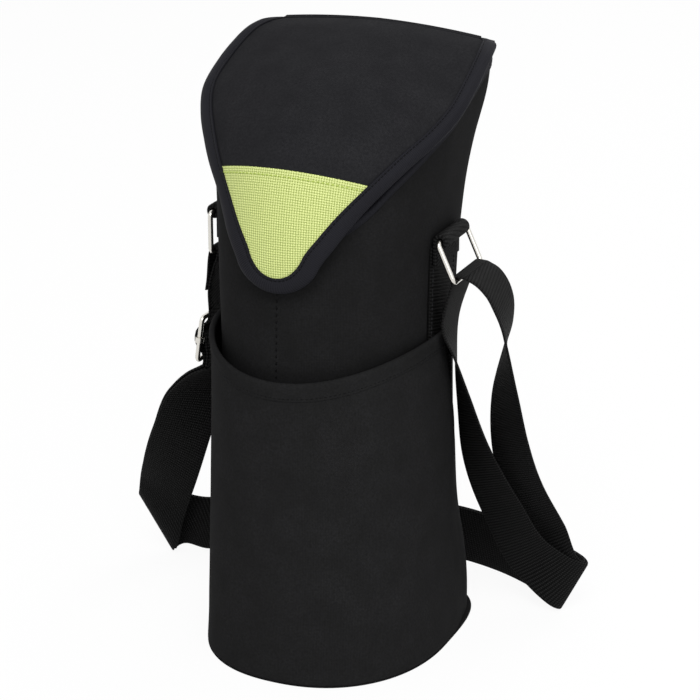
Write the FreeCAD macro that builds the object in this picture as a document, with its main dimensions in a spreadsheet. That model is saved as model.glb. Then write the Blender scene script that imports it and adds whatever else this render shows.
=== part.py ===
# Insulated single-bottle shoulder carrier with a padded flap, front pocket and adjustable webbing strap.
# Frame: origin at the centre of the base on the floor, +Z up, front towards -Y, millimetres.
import FreeCAD, Part
import math
import os
from FreeCAD import Placement, Rotation, Vector

SIZES = (
    # Carrier body, outer cloth
    ("carrier_height", 350), ("base_width", 140), ("base_front", 81.5), ("base_back", 78),
    ("outer_thick", 1.0), ("insulation_thick", 3.5), ("lining_thick", 0.6), ("layer_gap", 0.25),
    # Base
    ("base_ledge", 1.9), ("base_side_ledge", 3.9), ("base_panel_thick", 1.2), ("base_board_thick", 2.0),
    ("base_foam_thick", 3.5), ("base_lining_thick", 0.6), ("base_room", 0.9),
    # Mouth
    ("mouth_back_drop", 7.5), ("mouth_front_drop", 78.5), ("mouth_binding_thick", 0.5), ("mouth_binding_lap", 9),
    ("mouth_binding_room", 0.4), ("mouth_inner_room", 2.6), ("outer_recess", 0.6), ("insulation_recess", 4.0),
    ("lining_recess", 6.5),
    # Pocket
    ("pocket_thick", 1.6), ("pocket_side_stand", 3.8), ("pocket_below_tab", 71), ("pocket_side_rise", 14),
    ("pocket_edge_y", 5),
    # Webbing, rings and tabs
    ("web_width", 35), ("web_thick", 1.5), ("web_place_y", 5), ("wire_diameter", 3.0),
    ("ring_pitch", 23.6), ("ring_side_room", 3.0), ("ring_corner", 3.0), ("pin_gap", 0.2),
    ("tab_side_stand", 5.33), ("tab_axis_drop", 98), ("tab_leg", 15), ("web_top_below_tab", 4),
    ("ring_pass_leg", 9), ("ring_pass_reach", 8),
    # Slider
    ("slider_side_stand", 8.5), ("slider_below_tab", 78), ("slider_pitch", 27), ("slider_collar", 5.2),
    ("slider_collar_long", 3.2), ("strap_end_room", 4.5), ("strap_end_gap", 0.3), ("tail_long", 21), ("strap_layer_pitch", 1.9),
    # Flap
    ("flap_side_stand", 8.5), ("flap_fold_inset", 1.288), ("flap_fold_drop", 0.7), ("flap_tip_stand", 6.84),
    ("flap_lap", 38), ("flap_crown", 26), ("flap_outer_thick", 0.9), ("flap_foam_thick", 1.6),
    ("flap_lining_thick", 0.6), ("flap_gap", 0.2), ("flap_binding_width", 7), ("flap_binding_thick", 0.6), ("flap_binding_room", 0.4),
    ("flap_binding_under", 4), ("flap_edge_inset", 2.0), ("accent_thick", 0.7),
    # Closing tape
    ("tape_half_width", 9), ("hook_thick", 1.4), ("loop_thick", 1.9), ("tape_below_mouth", 10), ("tape_long", 11),
    # One overrun for every cut
    ("cut_overrun", 40),
)

# Angles in degrees
LEFT_STRAP_LEAN = 8.14
RIGHT_RING_LEAN = 25.0
RING_PASS_LEAVE = 90.0

# Rows up the body: height, half width, front depth, back depth as shares, then front and back roundness powers
BODY_LEVEL_SHARES = (
    (0.000, 1.000, 1.000, 1.000, 2.00, 3.6),
    (0.086, 0.975, 0.945, 0.942, 2.00, 4.0),
    (0.229, 0.943, 0.896, 0.885, 2.00, 3.3),
    (0.409, 0.936, 0.883, 0.859, 2.00, 2.9),
    (0.586, 0.921, 0.865, 0.846, 2.00, 3.1),
    (0.706, 0.921, 0.840, 0.846, 2.00, 3.4),
    (0.857, 0.998, 0.804, 0.846, 1.75, 4.6),
    (0.931, 1.043, 0.798, 0.846, 1.70, 6.4),
    (1.000, 1.060, 0.785, 0.846, 1.70, 8.0),
)
# Front depth of the pocket up the body, as shares of its depth at the base
POCKET_FRONT_SHARES = (1.000, 1.001, 0.989, 0.977, 0.966, 0.955, 0.955, 0.955, 0.955)
POCKET_ROUNDNESS = 2.05

# Mouth line in side view: reach from back to front and drop from back to front, as shares
MOUTH_SHARES = ((-0.3, -0.03), (0.0, 0.0), (0.176, 0.041), (0.347, 0.169), (0.489, 0.289), (0.608, 0.422),
                (0.698, 0.555), (0.780, 0.689), (0.855, 0.838), (0.922, 0.950), (1.0, 1.0), (1.3, 1.1))

# Flap stations: half width, reach, drop and crown as shares, then the crown's tilt from level in degrees
FLAP_STATION_SHARES = (
    (0.911, 0.000, 0.000, 0.173, 90),
    (0.940, 0.070, 0.006, 0.220, 88),
    (0.971, 0.157, 0.028, 0.308, 85),
    (0.988, 0.247, 0.073, 0.415, 81),
    (0.998, 0.354, 0.135, 0.538, 75),
    (0.981, 0.514, 0.240, 0.769, 62),
    (0.904, 0.614, 0.326, 0.923, 52),
    (0.795, 0.707, 0.412, 1.000, 40),
    (0.688, 0.779, 0.498, 0.962, 27),
    (0.573, 0.843, 0.592, 0.788, 14),
    (0.471, 0.907, 0.687, 0.531, 4),
    (0.395, 0.950, 0.768, 0.335, 0),
    (0.314, 0.979, 0.850, 0.190, 0),
    (0.266, 0.989, 0.910, 0.125, 0),
    (0.186, 0.995, 0.961, 0.070, 0),
)
FLAP_TIP_SHARES = (1.007, 1.0)
ACCENT_FIRST_STATION = 8
TAPE_FIRST_STATION = 11
TAPE_STATIONS = 4
STEEPEST_EDGE_SHARE = 0.4
OUTLINE_STEPS = 40
MOUTH_STEPS = 72

# Free strap, as pairs of edge points: lower or rear edge, then upper or front edge. They are chosen for a carrier
# of this width, depth and strap width, with its slider and its tabs at these heights.
ROUTE_BASE_WIDTH = 140
ROUTE_BASE_BACK = 78
ROUTE_WEB_WIDTH = 35
ROUTE_SLIDER_Z = 174
ROUTE_TAB_Z = 252
LEFT_RISE = (((-78.4, 22.5, 151), (-78.4, -12.5, 151)), ((-81, 25, 136), (-103.5, -3, 135)),
             ((-96, 30, 96), (-121.5, 6, 104)), ((-110, 38, 62), (-133.5, 16, 81)),
             ((-124, 46, 33), (-145, 31.5, 58)))
LEFT_FOLD = ((-135, 51, 1.5), (-155.5, 42.5, 42))
FLOOR_RUN = (((-115, 61, 1), (-117, 61, 36)), ((-90, 77, 1.5), (-90, 77, 37)), ((-60, 92, 1.5), (-60, 92, 37)),
             ((-30, 103, 1.5), (-30, 103, 37)), ((2, 110, 1.5), (2, 110, 37)), ((34, 112, 1.5), (34, 112, 37)),
             ((62, 106, 1.5), (62, 106, 37)), ((90, 93, 1.5), (93, 94, 37)))
RIGHT_FOLD = ((118, 70.5, 1.5), (132.5, 77, 32))
FRONT_BAND = (((90, 69, 20), (112, 64, 46)), ((73.7, 59, 56), (99, 48, 77)), ((65.5, 44, 103), (87, 23, 122)),
              ((64.8, 36, 139), (81, 8.5, 155)), ((66, 27, 170), (77, -3, 181.5)),
              ((69.5, 22.5, 196), (73, -11.5, 199)))
REAR_BAND = (((96, 76, 34), (121, 69, 58)), ((85, 63, 68), (112, 53, 88)), ((80.5, 48, 109), (109, 31, 123)),
             ((84, 39, 146), (108, 14.5, 157)), ((96, 29, 184), (107.5, -2, 194)), ((101.5, 25, 199), (110, -8, 205)),
             ((102, 22.5, 214.5), (105.5, -12, 216)), ((98, 22.5, 225.5), (98, -12.5, 225.5)))
FOLD_TURN_STEPS = 4
FOLD_TURN_LAYERS = 1.7

FRONT = Vector(0, -1, 0)
UP = Vector(0, 0, 1)
DEPTH = Vector(0, 1, 0)
RIGHT = Vector(1, 0, 0)
LEFT_FOLD_OUTWARD = Vector(-1, 0, -0.6)

doc = FreeCAD.newDocument("bottle_carrier")
sheet = doc.addObject("Spreadsheet::Sheet", "Sizes")


def fill_sheet():
    for row, (alias, value) in enumerate(SIZES, start=1):
        sheet.set(f"A{row}", alias)
        sheet.set(f"B{row}", str(value))
        sheet.setAlias(f"B{row}", alias)
    doc.recompute()


def size(alias):
    return float(sheet.get(alias))


def bind(item, prop, formula):
    item.setExpression(prop, formula)


def add_feature(label, shape):
    """A sub-part whose shape is set from the sheet's sizes by this script."""
    item = doc.addObject("Part::Feature", label)
    item.Label = label
    item.Shape = shape
    return item


# Body sections
def power_curve(half_width, front, back, front_power, back_power, z):
    """Closed smooth outline with its own roundness in front and behind."""
    points = []
    for step in range(OUTLINE_STEPS):
        angle = 2 * math.pi * step / OUTLINE_STEPS
        cosine, sine = math.cos(angle), math.sin(angle)
        depth, power = (back, back_power) if sine >= 0 else (front, front_power)
        x = half_width * math.copysign(abs(cosine) ** (2 / power), cosine)
        y = depth * math.copysign(abs(sine) ** (2 / power), sine)
        points.append(Vector(x, y, z))
    curve = Part.BSplineCurve()
    curve.interpolate(points, PeriodicFlag=True)
    return Part.Wire(curve.toShape())


def body_wires(inset):
    wires = []
    for height, width, front, back, front_power, back_power in BODY_LEVEL_SHARES:
        wires.append(power_curve(width * size("base_width") / 2 - inset, front * size("base_front") - inset,
                                 back * size("base_back") - inset, front_power, back_power,
                                 height * size("carrier_height")))
    return wires


def body_form(inset):
    """The body's filled form, drawn in by the inset."""
    return Part.makeLoft(body_wires(inset), True, False)


def pocket_form(inset):
    wires = []
    for level, front in zip(BODY_LEVEL_SHARES, POCKET_FRONT_SHARES):
        half_width = level[1] * size("base_width") / 2 + size("pocket_side_stand")
        wires.append(power_curve(half_width - inset, front * (size("base_front") + size("base_ledge")) - inset,
                                 level[3] * size("base_back") - inset, POCKET_ROUNDNESS, level[5],
                                 level[0] * size("carrier_height")))
    return Part.makeLoft(wires, True, False)


def tab_axis():
    """Where the ring tabs' axes lie: distance to the side, and height."""
    waist = BODY_LEVEL_SHARES[5][1] * size("base_width") / 2
    return waist + size("tab_side_stand"), size("carrier_height") - size("tab_axis_drop")


def base_top():
    """Height where the base panel ends and the walls begin."""
    return size("base_panel_thick") + size("layer_gap")


def slab(low_x, high_x, low_y, high_y, low_z, high_z):
    return Part.makeBox(high_x - low_x, high_y - low_y, high_z - low_z, Vector(low_x, low_y, low_z))


def reach():
    """Half the size of a block that holds the whole part."""
    return size("carrier_height") + size("cut_overrun")


def mouth_curve(lift):
    """The mouth line in side view, raised by the lift, and its end points."""
    back = size("base_back") * BODY_LEVEL_SHARES[-1][3]
    run = back + size("base_front") * BODY_LEVEL_SHARES[5][2]
    top = size("carrier_height") - size("mouth_back_drop") + lift
    points = []
    for reach_share, drop_share in MOUTH_SHARES:
        points.append(Vector(-reach(), back - reach_share * run, top - drop_share * size("mouth_front_drop")))
    line = Part.BSplineCurve()
    line.interpolate(points)
    return line.toShape(), points[0], points[-1]


def above_mouth(lift):
    """Block that fills the space above the mouth line raised by the lift."""
    line, first, last = mouth_curve(lift)
    high = 2 * reach()
    corners = [last, Vector(-reach(), last.y, high), Vector(-reach(), first.y, high), first]
    edges = [line] + Part.makePolygon(corners).Edges
    return Part.Face(Part.Wire(Part.__sortEdges__(edges))).extrude(Vector(2 * reach(), 0, 0))


def wall_layer(outer_inset, inner_inset, low_z, recess):
    """One layer of the wall, stopped the recess short of the mouth line."""
    wall = body_form(outer_inset).cut(body_form(inner_inset))
    wall = wall.common(slab(-reach(), reach(), -reach(), reach(), low_z, reach()))
    return wall.cut(above_mouth(-recess))


def outer_panels():
    wall = wall_layer(0, size("outer_thick"), base_top(), size("outer_recess"))
    seam = size("web_place_y")
    front = wall.common(slab(-reach(), reach(), -reach(), seam, 0, reach()))
    back = wall.common(slab(-reach(), reach(), seam, reach(), 0, reach()))
    add_feature("outer_front_panel", front)
    add_feature("outer_back_panel", back)


def insulation_insets():
    outer = size("outer_thick") + size("layer_gap")
    return outer, outer + size("insulation_thick")


def lining_insets():
    outer = insulation_insets()[1] + size("layer_gap")
    return outer, outer + size("lining_thick")


def inner_walls():
    outer, inner = insulation_insets()
    add_feature("insulation_sleeve", wall_layer(outer, inner, base_top(), size("insulation_recess")))
    outer, inner = lining_insets()
    low = base_stack()["base_foam"][1] + size("layer_gap")
    add_feature("lining_sleeve", wall_layer(outer, inner, low, size("lining_recess")))


# Base, a stack of flat pieces
def base_stack():
    """Low and high level of each piece of the base."""
    levels = {}
    low = 0
    for label in ("base_panel", "base_board", "base_foam", "lining_base"):
        thick = {"base_panel": "base_panel_thick", "base_board": "base_board_thick",
                 "base_foam": "base_foam_thick", "lining_base": "base_lining_thick"}[label]
        levels[label] = (low, low + size(thick))
        low = levels[label][1] + size("layer_gap")
    return levels


def flat_piece(label, wire, thickness):
    """A flat piece cut to an outline and bound to its thickness in the sheet."""
    outline = doc.addObject("Part::Feature", label + "_outline")
    outline.Shape = wire
    piece = doc.addObject("Part::Extrusion", label)
    piece.Label = label
    piece.Base = outline
    piece.DirMode = "Custom"
    piece.Dir = UP
    piece.Solid = True
    bind(piece, "LengthFwd", f"Sizes.{thickness}")


def base_wire(inset, z):
    """Outline inside the walls near the floor."""
    rows = BODY_LEVEL_SHARES[:2]
    share = z / (rows[1][0] * size("carrier_height"))
    mixed = [low + (high - low) * share for low, high in zip(*rows)]
    return power_curve(mixed[1] * size("base_width") / 2 - inset, mixed[2] * size("base_front") - inset,
                       mixed[3] * size("base_back") - inset, mixed[4], mixed[5], z)


def base_pieces():
    levels = base_stack()
    half_width = size("base_width") / 2 + size("base_side_ledge")
    first = BODY_LEVEL_SHARES[0]
    flat_piece("base_panel", power_curve(half_width, size("base_front") + size("base_ledge"),
                                         size("base_back") + size("base_ledge"), first[4], first[5], 0),
               "base_panel_thick")
    board_inset = insulation_insets()[1] + size("base_room")
    flat_piece("base_board", base_wire(board_inset, levels["base_board"][0]), "base_board_thick")
    flat_piece("base_foam", base_wire(board_inset, levels["base_foam"][0]), "base_foam_thick")
    lining_inset = lining_insets()[1] + size("base_room")
    flat_piece("lining_base", base_wire(lining_inset, levels["lining_base"][0]), "base_lining_thick")


def mouth_frames():
    """Round the mouth on the outer cloth: point, outward normal and direction up the wall."""
    skin = max(body_form(0).Faces, key=lambda face: face.Area)
    cutter = mouth_curve(0)[0].extrude(Vector(2 * reach(), 0, 0))
    line = Part.Wire(Part.__sortEdges__(skin.section(cutter).Edges))
    points = line.discretize(Number=MOUTH_STEPS + 1)[:-1]
    frames = []
    for index, point in enumerate(points):
        run = points[(index + 1) % MOUTH_STEPS] - points[index - 1]
        normal = skin.normalAt(*skin.Surface.parameter(point))
        if normal.x * point.x + normal.y * point.y < 0:
            normal = normal * -1
        up = run.cross(normal).normalize()
        if up.z < 0:
            up = up * -1
        frames.append((point, normal, up))
    return frames


def mouth_binding():
    """Tape folded over the wall's three layers, as a channel that follows the mouth."""
    tape, room, lap = size("mouth_binding_thick"), size("mouth_binding_room"), size("mouth_binding_lap")
    inside = -lining_insets()[1] - size("mouth_inner_room")
    steps = ((room + tape, -lap), (room + tape, room + tape), (inside - tape, room + tape), (inside - tape, -lap),
             (inside, -lap), (inside, room), (room, room), (room, -lap))
    wires = []
    for point, normal, up in mouth_frames():
        corners = [point + normal * out + up * rise for out, rise in steps]
        wires.append(Part.makePolygon(corners + corners[:1]))
    add_feature("mouth_binding", Part.makeLoft(wires, True, True, True))


# Pocket
def below_pocket_rim():
    """Block under the pocket's scooped rim, which rises towards the sides."""
    half = size("base_width") / 2 + size("pocket_side_stand") + size("cut_overrun")
    low = tab_axis()[1] - size("pocket_below_tab")
    rise = size("pocket_side_rise") * (half / (size("base_width") / 2)) ** 2
    arc = Part.Arc(Vector(-half, 0, low + rise), Vector(0, 0, low), Vector(half, 0, low + rise)).toShape()
    floor_corners = [Vector(half, 0, low + rise), Vector(half, 0, base_top()), Vector(-half, 0, base_top()),
                     Vector(-half, 0, low + rise)]
    edges = [arc] + Part.makePolygon(floor_corners).Edges
    face = Part.Face(Part.Wire(Part.__sortEdges__(edges)))
    face.translate(Vector(0, size("pocket_edge_y"), 0))
    return face.extrude(Vector(0, -reach(), 0))


def pocket():
    panel = pocket_form(0).cut(pocket_form(size("pocket_thick")))
    add_feature("pocket_panel", panel.common(below_pocket_rim()))


# Webbing on the sides, and the tabs that hold the rings
def web_span_y():
    return size("web_place_y") - size("web_width") / 2, size("web_place_y") + size("web_width") / 2


def side_webs():
    gap = size("layer_gap")
    band = body_form(-gap - size("web_thick")).cut(body_form(-gap))
    low_y, high_y = web_span_y()
    top = tab_axis()[1] - size("web_top_below_tab")
    add_feature("side_web_left", band.common(slab(-reach(), 0, low_y, high_y, base_top(), top)))
    add_feature("side_web_right", band.common(slab(0, reach(), low_y, high_y, base_top(), top)))


def wrap_inner():
    return size("wire_diameter") / 2 + size("pin_gap")


def wrap_middle():
    """Radius of the webbing's middle where it goes round a wire."""
    return wrap_inner() + size("web_thick") / 2


def web_profile(wire):
    """Webbing seen edge-on along a line, with its full thickness."""
    return wire.makeOffset2D(size("web_thick") / 2, fill=True, openResult=True)


def web_leg(start, end):
    """A straight stretch of webbing seen edge-on."""
    side = (end - start).cross(DEPTH).normalize() * (size("web_thick") / 2)
    corners = [start + side, end + side, end - side, start - side]
    return Part.Face(Part.makePolygon(corners + corners[:1]))


def across_web(face):
    """Spread an edge-on profile over the webbing's width."""
    low_y, high_y = web_span_y()
    face.translate(Vector(0, low_y, 0))
    return face.extrude(Vector(0, high_y - low_y, 0))


def ring_tab(label, side):
    """Webbing loop round the ring's upper bar, with a leg sewn on the side strip."""
    axis_x, axis_z = tab_axis()
    centre = Vector(side * axis_x, 0, axis_z)
    loop = Part.Face([Part.Wire(Part.makeCircle(wrap_inner() + size("web_thick"), centre, DEPTH)),
                      Part.Wire(Part.makeCircle(wrap_inner(), centre, DEPTH))])
    loop.validate()
    near = centre + Vector(-side * wrap_middle(), 0, 0)
    leg = web_leg(near, near - UP * size("tab_leg"))
    hole = Part.Face(Part.Wire(Part.makeCircle(wrap_inner(), centre, DEPTH)))
    add_feature(label, across_web(loop.fuse(leg).cut(hole).removeSplitter()))


def wire_frame(label, pitch, place, lean):
    """Bent wire rectangle with rounded corners: its upper bar at the place, hanging with the lean."""
    body = doc.addObject("PartDesign::Body", label)
    body.Label = label
    planes = {plane.Role: plane for plane in body.Origin.OriginFeatures}
    path = body.newObject("Sketcher::SketchObject", label + "_path")
    path.AttachmentSupport = [(planes["YZ_Plane"], "")]
    path.MapMode = "FlatFace"
    half = (size("web_width") + size("ring_side_room") + size("wire_diameter")) / 2
    corner = size("ring_corner")
    rounded_path(path, half, pitch, corner)
    section = body.newObject("Sketcher::SketchObject", label + "_section")
    section.AttachmentSupport = [(planes["XZ_Plane"], "")]
    section.MapMode = "FlatFace"
    section.addGeometry(Part.Circle(Vector(0, 0, 0), UP, size("wire_diameter") / 2), False)
    bind_circle(section)
    pipe = body.newObject("PartDesign::AdditivePipe", label + "_wire")
    pipe.Profile = section
    pipe.Spine = (path, [f"Edge{index + 1}" for index in range(path.GeometryCount)])
    body.Tip = pipe
    body.Placement = Placement(place, Rotation(DEPTH, lean))
    return body


def bind_circle(section):
    index = section.addConstraint(sketch_constraint("Radius", 0, size("wire_diameter") / 2))
    bind(section, f"Constraints[{index}]", "Sizes.wire_diameter / 2")


def sketch_constraint(*terms):
    import Sketcher
    return Sketcher.Constraint(*terms)


def rounded_path(path, half, pitch, corner):
    """Closed line: along the upper bar through the sketch origin, down, across and back, with round corners."""
    centres = ((half - corner, -corner, 0, 90), (-half + corner, -corner, 90, 180),
               (-half + corner, corner - pitch, 180, 270), (half - corner, corner - pitch, 270, 360))
    ends = ((Vector(0, 0), Vector(-half + corner, 0)), (Vector(-half, -corner), Vector(-half, corner - pitch)),
            (Vector(-half + corner, -pitch), Vector(half - corner, -pitch)),
            (Vector(half, corner - pitch), Vector(half, -corner)), (Vector(half - corner, 0), Vector(0, 0)))
    for begin, end in ends:
        path.addGeometry(Part.LineSegment(begin, end), False)
    for x, y, start, stop in centres:
        circle = Part.Circle(Vector(x, y), UP, corner)
        path.addGeometry(Part.ArcOfCircle(circle, math.radians(start), math.radians(stop)), False)


def tab_point(side):
    axis_x, axis_z = tab_axis()
    return Vector(side * axis_x, size("web_place_y"), axis_z)


def rings():
    wire_frame("ring_left", size("ring_pitch"), tab_point(-1), 0)
    wire_frame("ring_right", size("ring_pitch"), tab_point(1), -RIGHT_RING_LEAN)


# Left side of the strap, drawn in a frame with its length down the strap and its face away from the body
def strap_line():
    lean = math.radians(LEFT_STRAP_LEAN)
    along = Vector(-math.sin(lean), 0, -math.cos(lean))
    outward = Vector(-math.cos(lean), 0, math.sin(lean))
    side = -size("base_width") / 2 - size("slider_side_stand")
    return Vector(side, 0, tab_axis()[1] - size("slider_below_tab")), along, outward


def strap_point(down, out):
    centre, along, outward = strap_line()
    return centre + along * down + outward * out


def left_bar_down():
    """Distance along the strap from the slider up to the left ring's lower bar, as a negative length."""
    centre, along, outward = strap_line()
    axis_x, axis_z = tab_axis()
    bar = Vector(-axis_x, 0, axis_z - size("ring_pitch"))
    return (bar - centre).dot(along), (bar - centre).dot(outward)


def sewn_end():
    """Strap end folded over the left ring's lower bar, with its tail sewn back on the strap."""
    bar_down, bar_out = left_bar_down()
    middle, thick = wrap_middle(), size("web_thick")
    start = strap_point(-slider_half_span(), -middle)
    near = strap_point(bar_down, bar_out - middle)
    far = strap_point(bar_down, bar_out + middle)
    top = strap_point(bar_down - middle, bar_out)
    tail_out = -middle + thick + size("layer_gap")
    bend = strap_point(bar_down + size("tail_long") / 2, tail_out)
    tail = strap_point(bar_down + size("tail_long"), tail_out)
    edges = [Part.LineSegment(start, near).toShape(), Part.Arc(near, top, far).toShape(),
             Part.LineSegment(far, bend).toShape(), Part.LineSegment(bend, tail).toShape()]
    add_feature("strap_sewn_end", across_web(web_profile(Part.Wire(edges))))


def slider_half_span():
    """Half the length of strap that moves with the slider, less the gap to the next stretch."""
    return size("slider_pitch") / 2 + size("strap_end_room")


def slider_pass():
    """The strap's weave: behind the end bars and over the middle bar with its sewn loop."""
    middle, half = wrap_middle(), slider_half_span() - size("strap_end_gap")
    flat = size("slider_pitch") / 2 - size("wire_diameter") / 2
    crest_out = wrap_inner() + size("web_thick") + size("layer_gap") + size("web_thick") / 2
    crest = size("wire_diameter")
    points = [strap_point(-half, -middle), strap_point(-flat, -middle), strap_point(-crest, crest_out),
              strap_point(crest, crest_out), strap_point(flat, -middle), strap_point(half, -middle)]
    add_feature("strap_slider_pass", across_web(web_profile(Part.makePolygon(points))))


def slider_loop():
    """The strap's other end, sewn round the slider's middle bar, with its leg behind the weave."""
    centre = strap_point(0, 0)
    middle, half = wrap_middle(), slider_half_span() - size("strap_end_gap")
    leg_out = -middle - size("strap_layer_pitch")
    bend = size("slider_pitch") / 2 - size("wire_diameter")
    points = [strap_point(0, -middle), strap_point(wrap_middle(), -middle), strap_point(bend, leg_out),
              strap_point(half, leg_out)]
    hole = Part.Face(Part.Wire(Part.makeCircle(wrap_inner(), centre, DEPTH)))
    disc = Part.Face(Part.Wire(Part.makeCircle(wrap_inner() + size("web_thick"), centre, DEPTH)))
    loop = disc.fuse(web_profile(Part.makePolygon(points))).cut(hole).removeSplitter()
    add_feature("strap_slider_loop", across_web(loop))


def slider():
    """Wire frame and its middle bar with a collar round each rail."""
    top = strap_point(-size("slider_pitch") / 2, 0) + DEPTH * size("web_place_y")
    wire_frame("slider_frame", size("slider_pitch"), top, LEFT_STRAP_LEAN)
    half = (size("web_width") + size("ring_side_room") + size("wire_diameter")) / 2
    middle = strap_point(0, 0) + DEPTH * size("web_place_y")
    bar = Part.makeCylinder(size("wire_diameter") / 2, 2 * half, middle - DEPTH * half, DEPTH)
    along = strap_line()[1]
    rail_hole = size("wire_diameter") / 2 + size("pin_gap")
    for side in (-1, 1):
        rail = middle + DEPTH * (side * half)
        start = rail - along * (size("slider_collar_long") / 2)
        bar = bar.fuse(Part.makeCylinder(size("slider_collar") / 2, size("slider_collar_long"), start, along))
    for side in (-1, 1):
        start = middle + DEPTH * (side * half) - along * (size("slider_pitch") / 2)
        bar = bar.cut(Part.makeCylinder(rail_hole, size("slider_pitch"), start, along))
    add_feature("slider_bar", bar.removeSplitter())


# Right ring's stretch of strap
def ring_pass():
    """The strap over the right ring's lower bar: up on the inside, over the wire and out."""
    lean = math.radians(RIGHT_RING_LEAN)
    axis_x, axis_z = tab_axis()
    bar = Vector(axis_x + size("ring_pitch") * math.sin(lean), 0, axis_z - size("ring_pitch") * math.cos(lean))
    middle, leave = wrap_middle(), math.radians(RING_PASS_LEAVE)
    half_way = (math.pi + leave) / 2
    near = bar + Vector(-middle, 0, 0)
    crest = bar + Vector(math.cos(half_way), 0, math.sin(half_way)) * middle
    off = bar + Vector(math.cos(leave), 0, math.sin(leave)) * middle
    away = Vector(math.sin(leave), 0, -math.cos(leave))
    inner_end = near - UP * size("ring_pass_leg")
    outer_end = off + away * size("ring_pass_reach")
    edges = [Part.LineSegment(inner_end, near).toShape(), Part.Arc(near, crest, off).toShape(),
             Part.LineSegment(off, outer_end).toShape()]
    add_feature("strap_ring_pass", across_web(web_profile(Part.Wire(edges))))
    return inner_end, outer_end


# Free strap, laid through pairs of edge points
def edge_pair(pair, height_ratio):
    """A pair of the route, fitted to the carrier's width, depth and heights and to the webbing's width."""
    width_ratio = size("base_width") / ROUTE_BASE_WIDTH
    depth_ratio = size("base_back") / ROUTE_BASE_BACK
    low, high = [Vector(x * width_ratio, y * depth_ratio, z * height_ratio) for x, y, z in pair]
    spread = (high - low) * ((size("web_width") / ROUTE_WEB_WIDTH - 1) / 2)
    return [low - spread, high + spread]


def slider_height_ratio():
    return strap_line()[0].z / ROUTE_SLIDER_Z


def tab_height_ratio():
    return tab_axis()[1] / ROUTE_TAB_Z


def level_pair(centre):
    """Edge points of a stretch whose width lies along Y: rear, then front."""
    low_y, high_y = web_span_y()
    return [Vector(centre.x, high_y, centre.z), Vector(centre.x, low_y, centre.z)]


def fold_pairs(fold, outward, entry):
    """Pairs that carry the strap round a folded edge, turning from the entry side to the far side."""
    low, high = edge_pair(fold, 1)
    axis = (high - low).normalize()
    out = (outward - axis * outward.dot(axis)).normalize()
    face = entry - axis * entry.dot(axis)
    face = (face - out * face.dot(out)).normalize()
    radius = size("strap_layer_pitch") * FOLD_TURN_LAYERS
    pairs = []
    for step in range(FOLD_TURN_STEPS + 1):
        turn = math.pi * step / FOLD_TURN_STEPS
        shift = face * (radius * math.cos(turn)) + out * (radius * (math.sin(turn) - 1))
        normal = face * math.cos(turn) + out * math.sin(turn)
        pairs.append(([low + shift, high + shift], normal))
    return pairs


def with_normals(pairs, first_normal):
    """Face directions for plain pairs, from the run of the strap and kept on one side."""
    middles = [(low + high) * 0.5 for low, high in pairs]
    result = []
    last = first_normal
    for index, (low, high) in enumerate(pairs):
        run = middles[min(index + 1, len(pairs) - 1)] - middles[max(index - 1, 0)]
        normal = run.cross(high - low).normalize()
        if normal.dot(last) < 0:
            normal = normal * -1
        result.append(([low, high], normal))
        last = normal
    return result


def ribbon(laid, offset):
    """Webbing of full thickness through the laid pairs, shifted by the offset along its face."""
    wires = []
    half = size("web_thick") / 2
    for (low, high), normal in laid:
        corners = [low + normal * (offset - half), high + normal * (offset - half),
                   high + normal * (offset + half), low + normal * (offset + half)]
        wires.append(Part.makePolygon(corners + corners[:1]))
    return Part.makeLoft(wires, True, True)


def shared_run():
    """The doubled stretch: down from the slider, round the left fold, behind the body, round the right fold."""
    start_out = -wrap_middle() - size("strap_layer_pitch") / 2
    start = level_pair(strap_point(slider_half_span(), start_out))
    towards_body = strap_line()[2] * -1
    rise = with_normals([start] + [edge_pair(pair, slider_height_ratio()) for pair in LEFT_RISE], towards_body)
    turn_left = fold_pairs(LEFT_FOLD, LEFT_FOLD_OUTWARD, rise[-1][1])
    floor_run = with_normals([edge_pair(pair, 1) for pair in FLOOR_RUN], DEPTH)
    turn_right = fold_pairs(RIGHT_FOLD, RIGHT, DEPTH)
    return rise + turn_left + floor_run + turn_right


def free_strap(inner_end, outer_end):
    shared = shared_run()
    last_normal = shared[-1][1]
    offset = size("strap_layer_pitch") / 2
    gap = UP * size("strap_end_gap")
    rise = tab_height_ratio()
    front_band = [edge_pair(pair, rise) for pair in FRONT_BAND] + [level_pair(inner_end - gap)]
    front = with_normals(front_band, last_normal)
    rear_gap = Vector(size("strap_end_gap"), 0, 0)
    rear_band = [edge_pair(pair, rise) for pair in REAR_BAND] + [level_pair(outer_end + rear_gap)]
    rear = with_normals(rear_band, last_normal)
    add_feature("strap_front_layer", ribbon(shifted(shared, offset) + front, 0))
    add_feature("strap_rear_layer", ribbon(shifted(shared, -offset) + rear, 0))


def shifted(laid, offset):
    return [([low + normal * offset, high + normal * offset], normal) for (low, high), normal in laid]


# Flap, lofted through crowned arcs
def flap_place(reach_share, drop_share):
    """Depth and height on the flap's side line, from the fold at the back to the tip in front."""
    fold_y = size("base_back") * BODY_LEVEL_SHARES[-1][3] - size("flap_fold_inset")
    fold_z = size("carrier_height") - size("flap_fold_drop")
    run = fold_y + size("base_front") * BODY_LEVEL_SHARES[5][2] + size("flap_tip_stand")
    drop = size("mouth_front_drop") + size("flap_lap")
    return fold_y - reach_share * run, fold_z - drop_share * drop


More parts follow.
